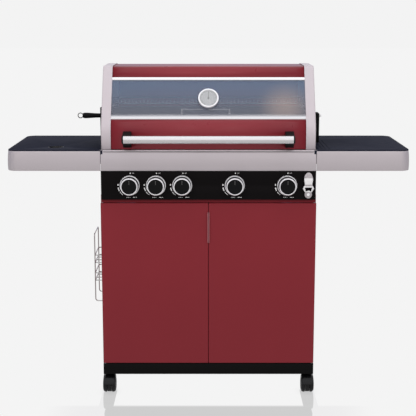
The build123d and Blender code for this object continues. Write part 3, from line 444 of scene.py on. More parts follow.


# Doors: two deep-folded red steel pans that swing on plain pins at their outer edges.
# Each has a narrow pull strip riveted along its free edge, in a lighter red that paints a highlight along the seam.
pull_highlight_red = finish("pull_painted_highlight", (0.34, 0.115, 0.130), tone=(0.16, (300.0, 300.0, 4.0)), rough=(0.34, 0.12),
                    skin=(0.05, (2500.0, 2500.0, 30.0)), Specular_IOR_Level=0.25)
door_fold, door_sheet, seam_close, pull_sink = 0.0026, 0.0017, 0.0009, 0.006
pin_line, boss_high = 0.3755, 0.020
both_sides = (("left", -1.0), ("right", 1.0))
for name, side in both_sides:
    low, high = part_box(f"door_{name}")
    inner = high if side < 0.0 else low
    inner.x -= side * seam_close
    pan = plain_box(low, high)
    bmesh.ops.delete(pan, geom=[f for f in pan.faces if f.normal.y > 0.9], context="FACES")
    softened(pan, door_fold, 4)
    door = walled(piece_of(f"door_pan_{name}", pan, red_coat), door_sheet)
    bossed = bmesh.new()
    bossed.from_mesh(door.data)
    pin_x = side * pin_line
    for z in (low.z + door_sheet, high.z - door_sheet - boss_high):
        rounded_box(bossed, (pin_x - 0.0055, low.y + door_sheet, z), (pin_x + 0.0042, high.y - 0.0006, z + boss_high))
    bossed.to_mesh(door.data)
    bossed.free()
    fitted(door, f"{name}_door", "red_paint", f"door_{name}")
    low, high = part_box(f"door_pull_{name}")
    inner = high if side < 0.0 else low
    inner.x -= side * seam_close
    low.y += pull_sink
    strip = bmesh.new()
    rounded_box(strip, low, high, 0.0008, 3)
    fitted(piece_of(f"pull_strip_{name}", strip, pull_highlight_red), f"{name}_door", "stainless", f"door_pull_{name}")


def coated(node, material):
    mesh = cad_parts[node].data
    mesh.materials.clear()
    mesh.materials.append(material)


coated("door_hinge_pins", zinc_sheet)


# Firebox, burners and grates: an enamelled steel tub with four steel tube burners under folded heat tents.
# Two cast-iron grates lie on its ledges; their bars, the burner ports and the rack wires repeat by rule.
def repeat_tree():
    tree = bpy.data.node_groups.new("repeat_by_rule", "GeometryNodeTree")
    for label, kind in (("Geometry", "Geometry"), ("Count", "Int"), ("Step", "Vector"), ("Turn", "Vector"),
                        ("Place", "Vector"), ("Tilt", "Vector"), ("Finish", "Material")):
        tree.interface.new_socket(label, in_out="INPUT", socket_type="NodeSocket" + kind)
    tree.interface.new_socket("Geometry", in_out="OUTPUT", socket_type="NodeSocketGeometry")
    given = tree.nodes.new("NodeGroupInput").outputs
    row = placed(tree, "GeometryNodeMeshLine", {"Count": given["Count"], "Offset": given["Step"]}, mode="OFFSET")
    index = placed(tree, "GeometryNodeInputIndex").outputs[0]
    turn = placed(tree, "VectorMath", {0: given["Turn"], "Scale": index}, operation="SCALE").outputs[0]
    copies = placed(tree, "GeometryNodeInstanceOnPoints",
                    {"Points": row.outputs[0], "Instance": given["Geometry"], "Rotation": turn})
    solid = placed(tree, "GeometryNodeRealizeInstances", {0: copies.outputs[0]})
    seat = placed(tree, "GeometryNodeTransform",
                  {"Geometry": solid.outputs[0], "Translation": given["Place"], "Rotation": given["Tilt"]})
    coat = placed(tree, "GeometryNodeSetMaterial", {"Geometry": seat.outputs[0], "Material": given["Finish"]})
    tree.links.new(coat.outputs[0], tree.nodes.new("NodeGroupOutput").inputs[0])
    return tree


repeat_rule = repeat_tree()


def repeated(name, shape, material, count, step=(0, 0, 0), turn=(0, 0, 0), place=(0, 0, 0), tilt=(0, 0, 0)):
    piece = piece_of(name, shape, material)
    rule = piece.modifiers.new("rule", "NODES")
    rule.node_group = repeat_rule
    values = {"Count": count, "Step": step, "Turn": turn, "Place": place, "Tilt": tilt, "Finish": material}
    for item in repeat_rule.interface.items_tree:
        if item.in_out == "INPUT" and item.name in values:
            rule[item.identifier] = values[item.name]
    piece.update_tag()
    return settled(piece)


enamel = finish("black_enamel", (0.012, 0.012, 0.013), tone=(0.5, 14.0), rough=(0.32, 0.35), skin=(0.10, 240.0),
                Specular_IOR_Level=0.4)
heated_steel = finish("heated_steel", (0.40, 0.38, 0.35), tone=(0.7, (9.0, 3.0, 9.0)), rough=(0.40, 0.25),
                      skin=(0.06, (900.0, 30.0, 900.0)), Metallic=1.0)
# Burner ports are small black discs on the tubes: painted shade in place of the dark inside real holes.
hole_shade_black = finish("hole_shade_black", (0.006, 0.006, 0.006), tone=(0.3, 200.0), rough=(0.8, 0.1), skin=(0.1, 900.0))
for node, coat in (("firebox", enamel), ("flame_tamers", heated_steel), ("tube_burners", heated_steel)):
    coated(node, coat)
burner_z, burner_r = 0.783, 0.014
port_r, port_step, port_count, port_first = 0.0013, 0.011, 26, -0.085
port_low, port_top = burner_r - 0.0004, burner_r + 0.00015
for number, x in enumerate((-0.276, -0.092, 0.092, 0.276), 1):
    rows = []
    for angle in (-50.0, 50.0):
        port = bmesh.new()
        turned(port, [(port_r, port_low), (port_r, port_top), (0.0, port_top)],
               Matrix.Rotation(math.radians(angle), 4, "Y"), 8)
        rows.append(repeated(f"ports_{number}_{angle:+.0f}", port, hole_shade_black, port_count, (0.0, port_step, 0.0),
                             place=(x, port_first, burner_z)))
    ports = taken_in(rows[0], rows[1])
    ports.name = f"burner_ports_{number}"
    fitted(ports, "trolley", "stainless")

cast_iron = finish("cast_iron", (0.020, 0.020, 0.020), tone=(0.5, 40.0), rough=(0.55, 0.25), skin=(0.35, 520.0),
                   Specular_IOR_Level=0.4)
grate_low, grate_top = 0.862, 0.872
grate_front, grate_rear, grate_middle = -0.181, 0.218, 0.0185
grate_rim, grate_rung, bar_half, bar_step, bar_count = 0.01425, 0.009, 0.003, 0.018, 18
grates = []
for inner, outer, first in ((-0.0015, -0.366, -0.33675), (0.366, 0.0015, 0.03075)):
    left, right = sorted((inner, outer))
    rim = bmesh.new()
    for x0, x1 in ((left, left + grate_rim), (right - grate_rim, right)):
        rounded_box(rim, (x0, grate_front, grate_low), (x1, grate_rear, grate_top), 0.0024, 3)
    for y0 in (grate_front, grate_middle - grate_rung / 2.0, grate_rear - grate_rung):
        y1 = y0 + grate_rung
        rounded_box(rim, (left + 0.004, y0, grate_low), (right - 0.004, y1, grate_top - 0.0006), 0.002, 3)
    bar = bmesh.new()
    rounded_box(bar, (-bar_half, grate_front + 0.004, grate_low), (bar_half, grate_rear - 0.004, grate_top), 0.0022, 3)
    bars = repeated("grate_bars", bar, cast_iron, bar_count, (bar_step, 0.0, 0.0), place=(first, 0.0, 0.0))
    grates.append(taken_in(piece_of("grate_half", rim, cast_iron), bars))
grate_pair = taken_in(*grates)
grate_pair.name = "cast_grates"
fitted(grate_pair, "trolley", "cast_iron", "cooking_grates")


# Warming rack: chromed steel wires welded across two rods, standing on short legs over the back of the grates.
# Every wire turns down at the front into a low lip.
def bent_path(points, bend, steps=6):
    corners = [Vector(p) for p in points]
    path = [corners[0]]
    for n in range(1, len(corners) - 1):
        radius = bend[n - 1] if isinstance(bend, (list, tuple)) else bend
        back = (corners[n - 1] - corners[n]).normalized()
        ahead = (corners[n + 1] - corners[n]).normalized()
        half = back.angle(ahead) / 2.0
        middle = corners[n] + (back + ahead).normalized() * (radius / math.sin(half))
        start = corners[n] + back * (radius / math.tan(half)) - middle
        end = corners[n] + ahead * (radius / math.tan(half)) - middle
        sweep = start.angle(end)
        for k in range(steps + 1):
            share = k / steps
            spoke = start * math.sin((1.0 - share) * sweep) + end * math.sin(share * sweep)
            path.append(middle + spoke / math.sin(sweep))
    path.append(corners[-1])
    return path


def curve_shape(curve, join):
    holder = bpy.data.objects.new(curve.name, curve)
    scene.collection.objects.link(holder)
    mesh = bpy.data.meshes.new_from_object(holder.evaluated_get(bpy.context.evaluated_depsgraph_get()))
    bpy.data.objects.remove(holder)
    shape = bmesh.new()
    shape.from_mesh(mesh)
    bpy.data.meshes.remove(mesh)
    bmesh.ops.remove_doubles(shape, verts=shape.verts, dist=join)
    for face in shape.faces:
        face.material_index = 0
    return shape


def wire_shape(paths, radius, sides=3):
    line = bpy.data.curves.new("wire", "CURVE")
    line.dimensions = "3D"
    line.bevel_depth = radius
    line.bevel_resolution = sides
    line.use_fill_caps = True
    for path in paths:
        spline = line.splines.new("POLY")
        spline.points.add(len(path) - 1)
        for point, place in zip(spline.points, path):
            point.co = (*place, 1.0)
    shape = curve_shape(line, 1e-6)
    bmesh.ops.recalc_face_normals(shape, faces=shape.faces)
    return shape


rack_chrome = finish("rack_chrome", (0.62, 0.61, 0.60), tone=(0.2, 30.0), rough=(0.20, 0.14), skin=(0.04, 600.0),
                     Metallic=1.0)
rack_z, rack_lip_z, rack_foot = 1.052, 1.040, 1.012
rack_front, rack_rear, rack_leg_x = 0.062, 0.203, 0.361
rod_paths = [[(-rack_leg_x, rack_front, rack_lip_z), (rack_leg_x, rack_front, rack_lip_z)],
             [(-rack_leg_x, rack_rear, rack_z), (rack_leg_x, rack_rear, rack_z)]]
for x in (-rack_leg_x, rack_leg_x):
    rod_paths.append([(x, rack_front, rack_foot), (x, rack_front, rack_lip_z)])
    rod_paths.append([(x, rack_rear, rack_foot), (x, rack_rear, rack_z)])
rods = piece_of("warming_rack_wires", wire_shape(rod_paths, 0.003), rack_chrome)
cross = bent_path([(0.0, rack_front, rack_lip_z), (0.0, rack_front, rack_z), (0.0, rack_rear, rack_z)], 0.004)
cross_wires = repeated("cross_wires", wire_shape([cross], 0.002, 2), rack_chrome, 47, (0.014, 0.0, 0.0),
                       place=(-0.322, 0.0, 0.0))
fitted(taken_in(rods, cross_wires), "trolley", "chrome", "warming_rack")


# Rear burner: a flat steel box on the firebox back, with a perforated ceramic tile behind its open face.
# A bent steel pipe brings its gas round from the second valve.
ceramic = finish("burner_ceramic", (0.52, 0.45, 0.36), tone=(0.25, 30.0), rough=(0.85, 0.1), skin=(0.2, 900.0))
burner_low, burner_high = Vector((-0.230, 0.198, 0.925)), Vector((0.230, 0.220, 0.985))
burner_rim = 0.008
tile_low, tile_high = Vector((-0.2216, 0.2072, 0.9334)), Vector((0.2216, 0.2118, 0.9766))
hole_r, hole_deep, hole_step, hole_count = 0.0011, 0.0002, 0.006, 73
hole_x, hole_z = -0.216, 0.937
box = bmesh.new()
for x0, x1 in ((burner_low.x, burner_low.x + burner_rim), (burner_high.x - burner_rim, burner_high.x)):
    rounded_box(box, (x0, burner_low.y, burner_low.z), (x1, burner_high.y, burner_high.z), 0.0012)
for z0, z1 in ((burner_low.z, burner_low.z + burner_rim), (burner_high.z - burner_rim, burner_high.z)):
    rounded_box(box, (burner_low.x + 0.002, burner_low.y, z0), (burner_high.x - 0.002, burner_high.y, z1), 0.0012)
rounded_box(box, (burner_low.x + 0.002, 0.213, burner_low.z + 0.002), (burner_high.x - 0.002, 0.220,
                                                                        burner_high.z - 0.002), 0.001)
tile = bmesh.new()
rounded_box(tile, tile_low, tile_high, 0.0008)
rear_box = taken_in(piece_of("rear_burner_box", box, heated_steel), piece_of("tile", tile, ceramic))
# The tile's perforations are black discs of painted shade, not cut holes.
for row in range(7):
    hole = bmesh.new()
    turned(hole, [(hole_r, 0.0), (hole_r, hole_deep), (0.0, hole_deep)], towards_front(0.0, tile_low.y, 0.0), 6)
    holes = repeated("tile_holes", hole, hole_shade_black, hole_count, (hole_step, 0.0, 0.0),
                     place=(hole_x + hole_step / 2.0 * (row % 2 - 0.5), 0.0, hole_z + hole_step * row))
    taken_in(rear_box, holes)
feed = bent_path([(-0.184, -0.147, 0.777), (-0.184, -0.133, 0.777), (-0.184, -0.133, 0.728), (-0.330, -0.133, 0.728),
                  (-0.330, 0.236, 0.728), (-0.330, 0.236, 0.950), (-0.200, 0.236, 0.950), (-0.200, 0.222, 0.950)],
                 0.009)
fitted(taken_in(rear_box, piece_of("feed_pipe", wire_shape([feed], 0.004), zinc_sheet)), "trolley", "stainless",
       "rear_burner")


# Gas train: a square zinc-plated manifold behind the control panel, with five brass valves screwed into it.
# The valve stems reach forward through the panel to the knobs.
turned_brass = finish("turned_brass", (0.60, 0.40, 0.14), tone=(0.2, (60.0, 300.0, 60.0)), rough=(0.30, 0.2),
                      skin=(0.08, (200.0, 4000.0, 200.0)), Metallic=1.0)
coated("gas_manifold", zinc_sheet)
fitted(piece_of("brass_valves", folded_sheet("gas_valves", 0.0007), turned_brass), "trolley", "brass", "gas_valves")
for number in range(1, 6):
    coated(f"valve_stem_{number}", turned_brass)


# Grease tray and cup: a shallow zinc drawer on runners under the firebox, pulled out at the back.
# A drawn aluminium cup with a rolled rim hangs below the drain in its floor.
drawn_aluminium = finish("drawn_aluminium", (0.60, 0.60, 0.61), tone=(0.12, (20.0, 20.0, 90.0)),
                         rough=(0.34, 0.15), skin=(0.05, (90.0, 90.0, 1200.0)), Metallic=1.0)
fitted(piece_of("grease_drawer", folded_sheet("grease_tray", 0.0008), zinc_sheet), "grease_drawer", "zinc_steel",
       "grease_tray")
cup_low, cup_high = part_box("grease_cup")
cup_deep = cup_high.z - cup_low.z
cup = bmesh.new()
turned(cup, [(0.0, 0.0), (0.036, 0.0), (0.0395, 0.0012), (0.0410, 0.0045), (0.0428, cup_deep - 0.0030),
             (0.0440, cup_deep - 0.0022), (0.0440, cup_deep - 0.0006), (0.0434, cup_deep), (0.0424, cup_deep),
             (0.0416, cup_deep - 0.0030), (0.0398, 0.0050), (0.0385, 0.0024), (0.036, 0.0014), (0.0, 0.0014)],
       Matrix.Translation(((cup_low.x + cup_high.x) / 2.0, (cup_low.y + cup_high.y) / 2.0, cup_low.z)), 64)
fitted(piece_of("grease_cup_drawn", cup, drawn_aluminium), "grease_drawer", "aluminium", "grease_cup")


# Control panel: a black enamelled sheet with small white marks printed beside each knob.
# It hooks over the firebox front, and every knob stands in a pressed chrome bezel.
panel_front = -0.197
knob_z = 0.774
knob_places = (-0.276, -0.184, -0.092, 0.092, 0.276)
panel_enamel = powder_coat("panel_enamel", (0.0056, 0.0046, 0.0050), 0.34, 0.05, Specular_IOR_Level=0.045)
fitted(piece_of("control_panel_sheet", folded_sheet("control_panel", 0.0008), panel_enamel), "trolley",
       "black_paint", "control_panel")
print_white = finish("print_white", (0.88, 0.87, 0.87), tone=(0.3, 900.0), rough=(0.6, 0.1), skin=(0.05, 2000.0),
                     Specular_IOR_Level=0.2)


def stamped(shape, points, front, back):
    near = [shape.verts.new((x, front, z)) for x, z in points]
    far = [shape.verts.new((x, back, z)) for x, z in points]
    made = [shape.faces.new(near), shape.faces.new(list(reversed(far)))]
    for n in range(len(points)):
        m = (n + 1) % len(points)
        made.append(shape.faces.new([near[n], far[n], far[m], near[m]]))
    bmesh.ops.recalc_face_normals(shape, faces=made)


def arc_dash(x, z, radius, start, end, width_start, width_end, steps=10):
    outer, inner = [], []
    for n in range(steps + 1):
        share = n / steps
        angle = math.radians(start + (end - start) * share)
        half = (width_start + (width_end - width_start) * share) / 2.0
        outer.append((x + (radius + half) * math.cos(angle), z + (radius + half) * math.sin(angle)))
        inner.append((x + (radius - half) * math.cos(angle), z + (radius - half) * math.sin(angle)))
    return outer + inner[::-1]


def pill(x, z, length, height, steps=6):
    half = height / 2.0
    points = []
    for end, turn in ((length / 2.0 - half, -90.0), (half - length / 2.0, 90.0)):
        for n in range(steps + 1):
            angle = math.radians(turn + 180.0 * n / steps)
            points.append((x + end + half * math.cos(angle), z + half * math.sin(angle)))
    return points


def flame(x, z, height):
    points = []
    for n in range(20):
        angle = 2.0 * math.pi * n / 20
        up = math.cos(angle)
        points.append((x + 0.36 * height * math.sin(angle) * (1.0 - 0.55 * max(up, 0.0)), z + 0.5 * height * up))
    return points


def lettering(text, height, x, y, z):
    words = bpy.data.curves.new("words", "FONT")
    words.body = text
    words.size = height / 0.72
    words.resolution_u = 3
    words.extrude = 0.0001
    shape = curve_shape(words, 1e-7)
    shape.transform(towards_front(x, y, z))
    return shape


mark_front, mark_back = panel_front - 0.0002, panel_front + 0.0001
marks = bmesh.new()
for x in knob_places:
    stamped(marks, pill(x + 0.0024, knob_z + 0.0427, 0.0044, 0.0043), mark_front, mark_back)
    merged(marks, lettering("OFF", 0.0034, x + 0.0085, panel_front - 0.0001, knob_z + 0.0412))
    stamped(marks, flame(x - 0.0410, knob_z + 0.0017, 0.0068), mark_front, mark_back)
    for start, end, first, last in ((191.5, 209.0, 0.0040, 0.0034), (214.5, 236.0, 0.0024, 0.0009)):
        stamped(marks, arc_dash(x, knob_z, 0.0416, start, end, first, last), mark_front, mark_back)
    for place, length, height in ((-0.0118, 0.0022, 0.0020), (-0.0062, 0.0056, 0.0013), (0.0002, 0.0028, 0.0012),
                                  (0.0150, 0.0084, 0.0017), (0.0225, 0.0040, 0.0016)):
        stamped(marks, pill(x + place, knob_z - 0.0428, length, height), mark_front, mark_back)
fitted(piece_of("printed_marks", marks, print_white), "trolley", "black_paint")

bezel_chrome = finish("bezel_chrome", (0.96, 0.94, 0.97), tone=(0.08, 40.0), rough=(0.22, 0.12),
                      skin=(0.02, 900.0), Metallic=0.30)
bezels = bmesh.new()
bezel_profile = [(0.0350, 0.0), (0.0350, 0.0058), (0.0347, 0.0078), (0.0340, 0.0092), (0.0331, 0.0099),
                 (0.0322, 0.0099), (0.0315, 0.0092), (0.0311, 0.0080), (0.0310, 0.0)]
bezel_floor = bmesh.new()
for x in knob_places:
    turned(bezels, bezel_profile, towards_front(x, panel_front, knob_z), 72, closed=True)
    turned(bezel_floor, [(0.0312, 0.0002), (0.0312, 0.0007), (0.0100, 0.0007), (0.0100, 0.0002)],
           towards_front(x, panel_front, knob_z), 48, closed=True)
fitted(taken_in(piece_of("pressed_bezels", bezels, bezel_chrome), piece_of("floor", bezel_floor, panel_enamel)),
       "trolley", "chrome", "knob_bezels")


# Knobs: dark cast bodies with a chromed front ring, a matt black inset face and one pale pointer line.
# Each is pushed on its valve stem and presses in a little before it turns.
knob_back = -0.2025
knob_black = finish("knob_black", (0.0085, 0.0085, 0.009), tone=(0.4, 700.0), rough=(0.52, 0.15),
                    skin=(0.18, 1400.0), Specular_IOR_Level=0.04)
pointer_grey = finish("pointer_grey", (0.10, 0.097, 0.095), tone=(0.3, 600.0), rough=(0.5, 0.1),
                      skin=(0.05, 900.0))
knob_side = finish("knob_side", (0.11, 0.107, 0.113), tone=(0.12, 40.0), rough=(0.30, 0.12), skin=(0.02, 900.0),
                   Metallic=0.8)
knob_ring = finish("knob_ring", (0.95, 0.93, 0.96), tone=(0.08, 40.0), rough=(0.22, 0.12), skin=(0.02, 900.0),
                   Metallic=0.42)
knob_profile = [(0.0, 0.0), (0.0286, 0.0), (0.0293, 0.0004), (0.0295, 0.0012), (0.0295, 0.0112), (0.0293, 0.0122),
                (0.0296, 0.0134), (0.0302, 0.0268), (0.0303, 0.0290), (0.0301, 0.0306), (0.0295, 0.0322),
                (0.0286, 0.0332), (0.0275, 0.0335), (0.0266, 0.0332), (0.0261, 0.0322), (0.0, 0.0322)]
for number, x in enumerate(knob_places, 1):
    place = towards_front(x, knob_back, knob_z)
    body = bmesh.new()
    for side in turned(body, knob_profile, place, 72):
        side.material_index = int(knob_back - side.calc_center_median().y < 0.0268)
    face = bmesh.new()
    turned(face, [(0.0, 0.0318), (0.0260, 0.0318), (0.0260, 0.0324), (0.0256, 0.0327), (0.0120, 0.0329),
                  (0.0, 0.0330)], place, 72)
    line = bmesh.new()
    rounded_box(line, (x - 0.0008, knob_back - 0.0333, knob_z + 0.0075),
                (x + 0.0008, knob_back - 0.0325, knob_z + 0.0215), 0.0003)
    knob = taken_in(piece_of(f"knob_turned_{number}", body, knob_ring, knob_side),
                    piece_of("knob_face", face, knob_black), piece_of("knob_line", line, pointer_grey))
    fitted(knob, f"knob_{number}", "chrome", f"knob_{number}")


# Bottle opener: a chromed pressing on two posts, an oval above and a six-sided mouth with a tongue below.
# It is slightly bowed, so that it catches the light in the middle; two bands across it are a brighter copy of the
# steel as a painted highlight and the rest a darker copy as painted shade.
def cut_by(piece, cutter):
    knife = piece_of("knife", cutter)
    cut = piece.modifiers.new("cut", "BOOLEAN")
    cut.operation = "DIFFERENCE"
    cut.solver = "EXACT"
    cut.object = knife
    settled(piece)
    bpy.data.objects.remove(knife)
    return piece


def oval_half(z, half_width, half_height, middle):
    share = (z - middle) / half_height
    return half_width * math.sqrt(1.0 - share * share) if abs(share) < 1.0 else 0.0


opener_highlight_steel = finish("opener_highlight_steel", (0.93, 0.91, 0.92), tone=(0.12, (90.0, 90.0, 55.0)), rough=(0.20, 0.12),
                      skin=(0.03, 900.0), Metallic=0.40)
opener_shade_steel = finish("opener_shade_steel", (0.49, 0.455, 0.47), tone=(0.50, (190.0, 190.0, 150.0)), rough=(0.30, 0.12),
                    skin=(0.05, 900.0), Metallic=0.55)
opener_x, opener_z, opener_half = 0.350, 0.7745, 0.046
opener_front, opener_thick = -0.209, 0.0026
hex_r, hex_z = 0.020, -0.010
top_oval = (0.0155, 0.024, 0.022)
low_oval = (0.013, 0.014, -0.032)
waist = (0.0135, 0.012)
rows = []
for n in range(121):
    z = -opener_half + 2.0 * opener_half * (0.5 - 0.5 * math.cos(math.pi * n / 120))
    across = max(oval_half(z, *top_oval), oval_half(z, *low_oval), 0.0004)
    if abs(z) <= waist[1]:
        across = max(across, waist[0])
    if abs(z - hex_z) <= hex_r * math.cos(math.pi / 6.0):
        across = max(across, hex_r - abs(z - hex_z) * math.tan(math.pi / 6.0))
    bow = 0.0042 * ((z - 0.006) / opener_half) ** 2
    rows.append([(opener_x + across * m / 6.0, opener_front + bow + 0.0005 * (m / 6.0) ** 4, opener_z + z)
                 for m in range(-6, 7)])
plate = bmesh.new()
skinned(plate, rows)
# Faces across the oval and across the mouth take the painted highlight; all other faces take the painted shade.
for face in plate.faces:
    z = face.calc_center_median().z - opener_z
    face.material_index = int(not (0.0040 < z < 0.0262 or -0.0225 < z < -0.0010))
mouth = [(-0.013, -0.0066), (0.013, -0.0066), (0.009, -0.022)]
for n in range(1, 16):
    x = 0.009 - 0.018 * n / 16
    mouth.append((x, low_oval[2] + low_oval[1] * math.sqrt(1.0 - (x / low_oval[0]) ** 2)))
mouth.append((-0.009, -0.022))
knife = bmesh.new()
stamped(knife, [(opener_x + x, opener_z + z) for x, z in mouth], opener_front - 0.004, opener_front + 0.008)
opener = cut_by(walled(piece_of("bottle_opener_pressing", plate, opener_highlight_steel, opener_shade_steel), opener_thick), knife)
posts = bmesh.new()
for z in (top_oval[2], low_oval[2]):
    turned(posts, [(0.0, 0.0), (0.005, 0.0), (0.005, 0.0102), (0.0, 0.0102)],
           towards_front(opener_x, panel_front, opener_z + z), 28)
fitted(taken_in(opener, piece_of("posts", posts, bezel_chrome)), "trolley", "chrome", "bottle_opener")


# Fascias: three silver-painted steel fronts, slightly crowned, that cover the shelf edges and the lid's lower rim.
# The outer two wrap round the front corners of the shelves.
fascia_front, fascia_low, fascia_high = -0.207, 0.826, 0.899
fascia_seam, fascia_corner, shelf_end, fascia_wrap = 0.3769, 0.036, 0.705, -0.145
silver_paint = finish("silver_metallic_paint", (0.540, 0.490, 0.513), tone=(0.06, 6.0), rough=(0.40, 0.10),
                      skin=(0.10, 2600.0), Metallic=0.55, Specular_IOR_Level=0.3)


def crowned(lean_back, flange):
    profile = [(flange, fascia_high - 0.0002), (lean_back + 0.0026, fascia_high - 0.0002),
               (lean_back + 0.0013, fascia_high - 0.0006), (lean_back + 0.0004, fascia_high - 0.0014)]
    for n in range(1, 24):
        height = fascia_high - 0.0014 - (fascia_high - fascia_low - 0.0026) * n / 24
        share = (fascia_high - height) / (fascia_high - fascia_low)
        rise = lean_back * (1.0 - share / 0.7) ** 2 if share < 0.7 else 0.0009 * ((share - 0.7) / 0.3) ** 2
        profile.append((rise, height))
    return profile + [(0.0010, fascia_low + 0.0011), (0.0016, fascia_low + 0.0004), (0.0028, fascia_low + 0.0001),
                      (0.0100, fascia_low + 0.0001)]


seam_round = ((0.0, 0.0007), (0.0006, 0.0002), (0.0014, 0.0))
plan = [((fascia_seam + x, fascia_front), (0.0, -1.0), dip) for x, dip in seam_round]
for n in range(1, 10):
    plan.append(((fascia_seam + (shelf_end - fascia_corner - fascia_seam) * n / 10, fascia_front), (0.0, -1.0), 0.0))
for n in range(17):
    angle = math.radians(-90.0 + 90.0 * n / 16)
    out = (math.cos(angle), math.sin(angle))
    plan.append(((shelf_end - fascia_corner + fascia_corner * out[0], fascia_front + fascia_corner
                  + fascia_corner * out[1]), out, 0.0))
plan.append(((shelf_end, fascia_wrap), (1.0, 0.0), 0.0))
for name, side in both_sides:
    front = bmesh.new()
    rows = []
    for back, z in crowned(0.0034, 0.0066):
        back = min(back, 0.0066)
        rows.append([(side * (x - (back + dip) * nx), y - (back + dip) * ny, z) for (x, y), (nx, ny), dip in plan])
    skinned(front, rows)
    bmesh.ops.remove_doubles(front, verts=front.verts, dist=1e-6)
    if side > 0.0:
        bmesh.ops.reverse_faces(front, faces=front.faces)
    sheet = walled(piece_of(f"fascia_shell_{name}", front, silver_paint), 0.0012)
    fitted(sheet, "trolley", "silver_paint", f"fascia_{name}")
middle_half = 0.3759
left_half = [(x - middle_half, dip) for x, dip in seam_round]
right_half = [(-x, dip) for x, dip in reversed(left_half)]
middle = bmesh.new()
skinned(middle, [[(x, fascia_front + back + dip, z) for x, dip in left_half + [(0.0, 0.0)] + right_half]
                 for back, z in crowned(0.0058, 0.0145)])
bmesh.ops.reverse_faces(middle, faces=middle.faces)
fitted(walled(piece_of("fascia_shell_middle", middle, silver_paint), 0.0014), "trolley", "silver_paint",
       "center_fascia")


# Side shelves: folded steel tops with a dark, fine-grained coat, bolted to the firebox ends.
# The left one has a round hole for a cup; the right one has three short grooves near the lid.
shelf_coat = finish("shelf_coat", (0.0140, 0.0155, 0.0270), tone=(0.14, 7.0), rough=(0.58, 0.12),
                    skin=(0.22, 1100.0), Specular_IOR_Level=0.01)
for name in ("left", "right"):
    fitted(piece_of(f"shelf_sheet_{name}", folded_sheet(f"shelf_{name}", 0.0009), shelf_coat), "trolley",
           "shelf_paint", f"shelf_{name}")
grommet = bmesh.new()
turned(grommet, [(0.0279, 0.8985), (0.0277, 0.8990), (0.0268, 0.8990), (0.0264, 0.8984), (0.0264, 0.8800),
                 (0.0279, 0.8800)], Matrix.Translation((-0.543, -0.116, 0.0)), 56, closed=True)
fitted(piece_of("cup_hole_edging", grommet, caster_plastic), "trolley", "black_plastic")


# Lid: two red steel skins held between silver end caps, with chromed trims clamping the glass over the lean.
# The skins follow the section of the caps, a vertical front, a leaning face and a rounded crown.
lid_front, lid_rear, lid_rim, lid_top, lid_bend_z = -0.197, 0.228, 0.900, 1.185, 0.977
lean = math.radians(30.4)
rear_rim, side_rim = 1.013, 1.020
cap_half, band_half, skin_half = 0.374, 0.340, 0.345
skin_depth = 0.0027


def on_lean(s, out):
    return (lid_front + s * math.sin(lean) - out * math.cos(lean), lid_bend_z + s * math.cos(lean)
            + out * math.sin(lean))


def lid_line(depth, steps=16):
    front, top, rear = lid_front + depth, lid_top - depth, lid_rear - depth
    y, z = on_lean(0.0, -depth)
    bend = z + (front - y) / math.tan(lean)
    crest = y + (top - z) * math.tan(lean)
    corners = [(0.0, front, lid_rim), (0.0, front, bend), (0.0, crest, top), (0.0, rear, top), (0.0, rear, rear_rim)]
    return [(p.y, p.z) for p in bent_path(corners, (0.080 - depth, 0.018 - depth, 0.120 - depth), steps)]


def lean_share(point):
    return (point[0] - lid_front) * math.sin(lean) + (point[1] - lid_bend_z) * math.cos(lean)


cap_paint = finish("cap_silver_paint", (0.582, 0.520, 0.552), tone=(0.05, 6.0), rough=(0.40, 0.10),
                   skin=(0.08, 2600.0), Metallic=0.08, Specular_IOR_Level=0.3)
cap_edge = 0.0045
cap_profile = [(band_half, 0.0024), (band_half, 0.0005), (band_half + 0.0004, 0.0001), (band_half + 0.0010, 0.0)]
for n in range(9):
    angle = math.radians(90.0 * n / 8)
    cap_profile.append((cap_half - cap_edge + cap_edge * math.sin(angle), cap_edge - cap_edge * math.cos(angle)))
notch_y, notch_z, notch_r = 0.015, 0.99905, 0.010
for name, side in both_sides:
    cap = bmesh.new()
    edge = skinned(cap, [[(side * x, y, z) for y, z in lid_line(depth)] for x, depth in cap_profile])[-1]
    parting = [(0.2223, rear_rim), (0.2223, side_rim), (0.058, side_rim), (-0.112, lid_rim)]
    cap.faces.new(edge + [cap.verts.new((side * cap_half, y, z)) for y, z in parting])
    bmesh.ops.recalc_face_normals(cap, faces=cap.faces)
    if sum(f.normal.x * f.calc_area() for f in cap.faces) * side < 0.0:
        bmesh.ops.reverse_faces(cap, faces=cap.faces)
    knife = bmesh.new()
    keyhole = [(notch_y + 0.014, notch_z - 0.050), (notch_y + 0.014, notch_z)]
    for n in range(1, 17):
        angle = math.radians(180.0 * n / 16)
        keyhole.append((notch_y + notch_r * math.cos(angle), notch_z + notch_r * math.sin(angle)))
    keyhole.append((notch_y - notch_r, notch_z - 0.050))
    stamped(knife, [(-y, z) for y, z in keyhole], side * (cap_half - 0.012), side * (cap_half + 0.008))
    knife.transform(Matrix.Rotation(-math.pi / 2.0, 4, "Z"))
    shell = cut_by(walled(piece_of(f"lid_end_cap_{name}", cap, cap_paint), 0.0022), knife)
    fitted(shell, "lid", "silver_paint", *(("lid_end_caps",) if name == "right" else ()))

lid_red = powder_coat("lid_red_coat", (0.236, 0.0245, 0.0345), 0.30, 0.05, Specular_IOR_Level=0.26,
                      Coat_Weight=0.08, Coat_Roughness=0.10)
skin_line = lid_line(skin_depth, 20)


def cut_on_lean(line, s):
    for n, (a, b) in enumerate(zip(line, line[1:])):
        start, end = lean_share(a), lean_share(b)
        if start <= s <= end and a[1] < lid_top - 0.03:
            share = (s - start) / (end - start)
            return n + 1, (a[0] + share * (b[0] - a[0]), a[1] + share * (b[1] - a[1]))
    return None


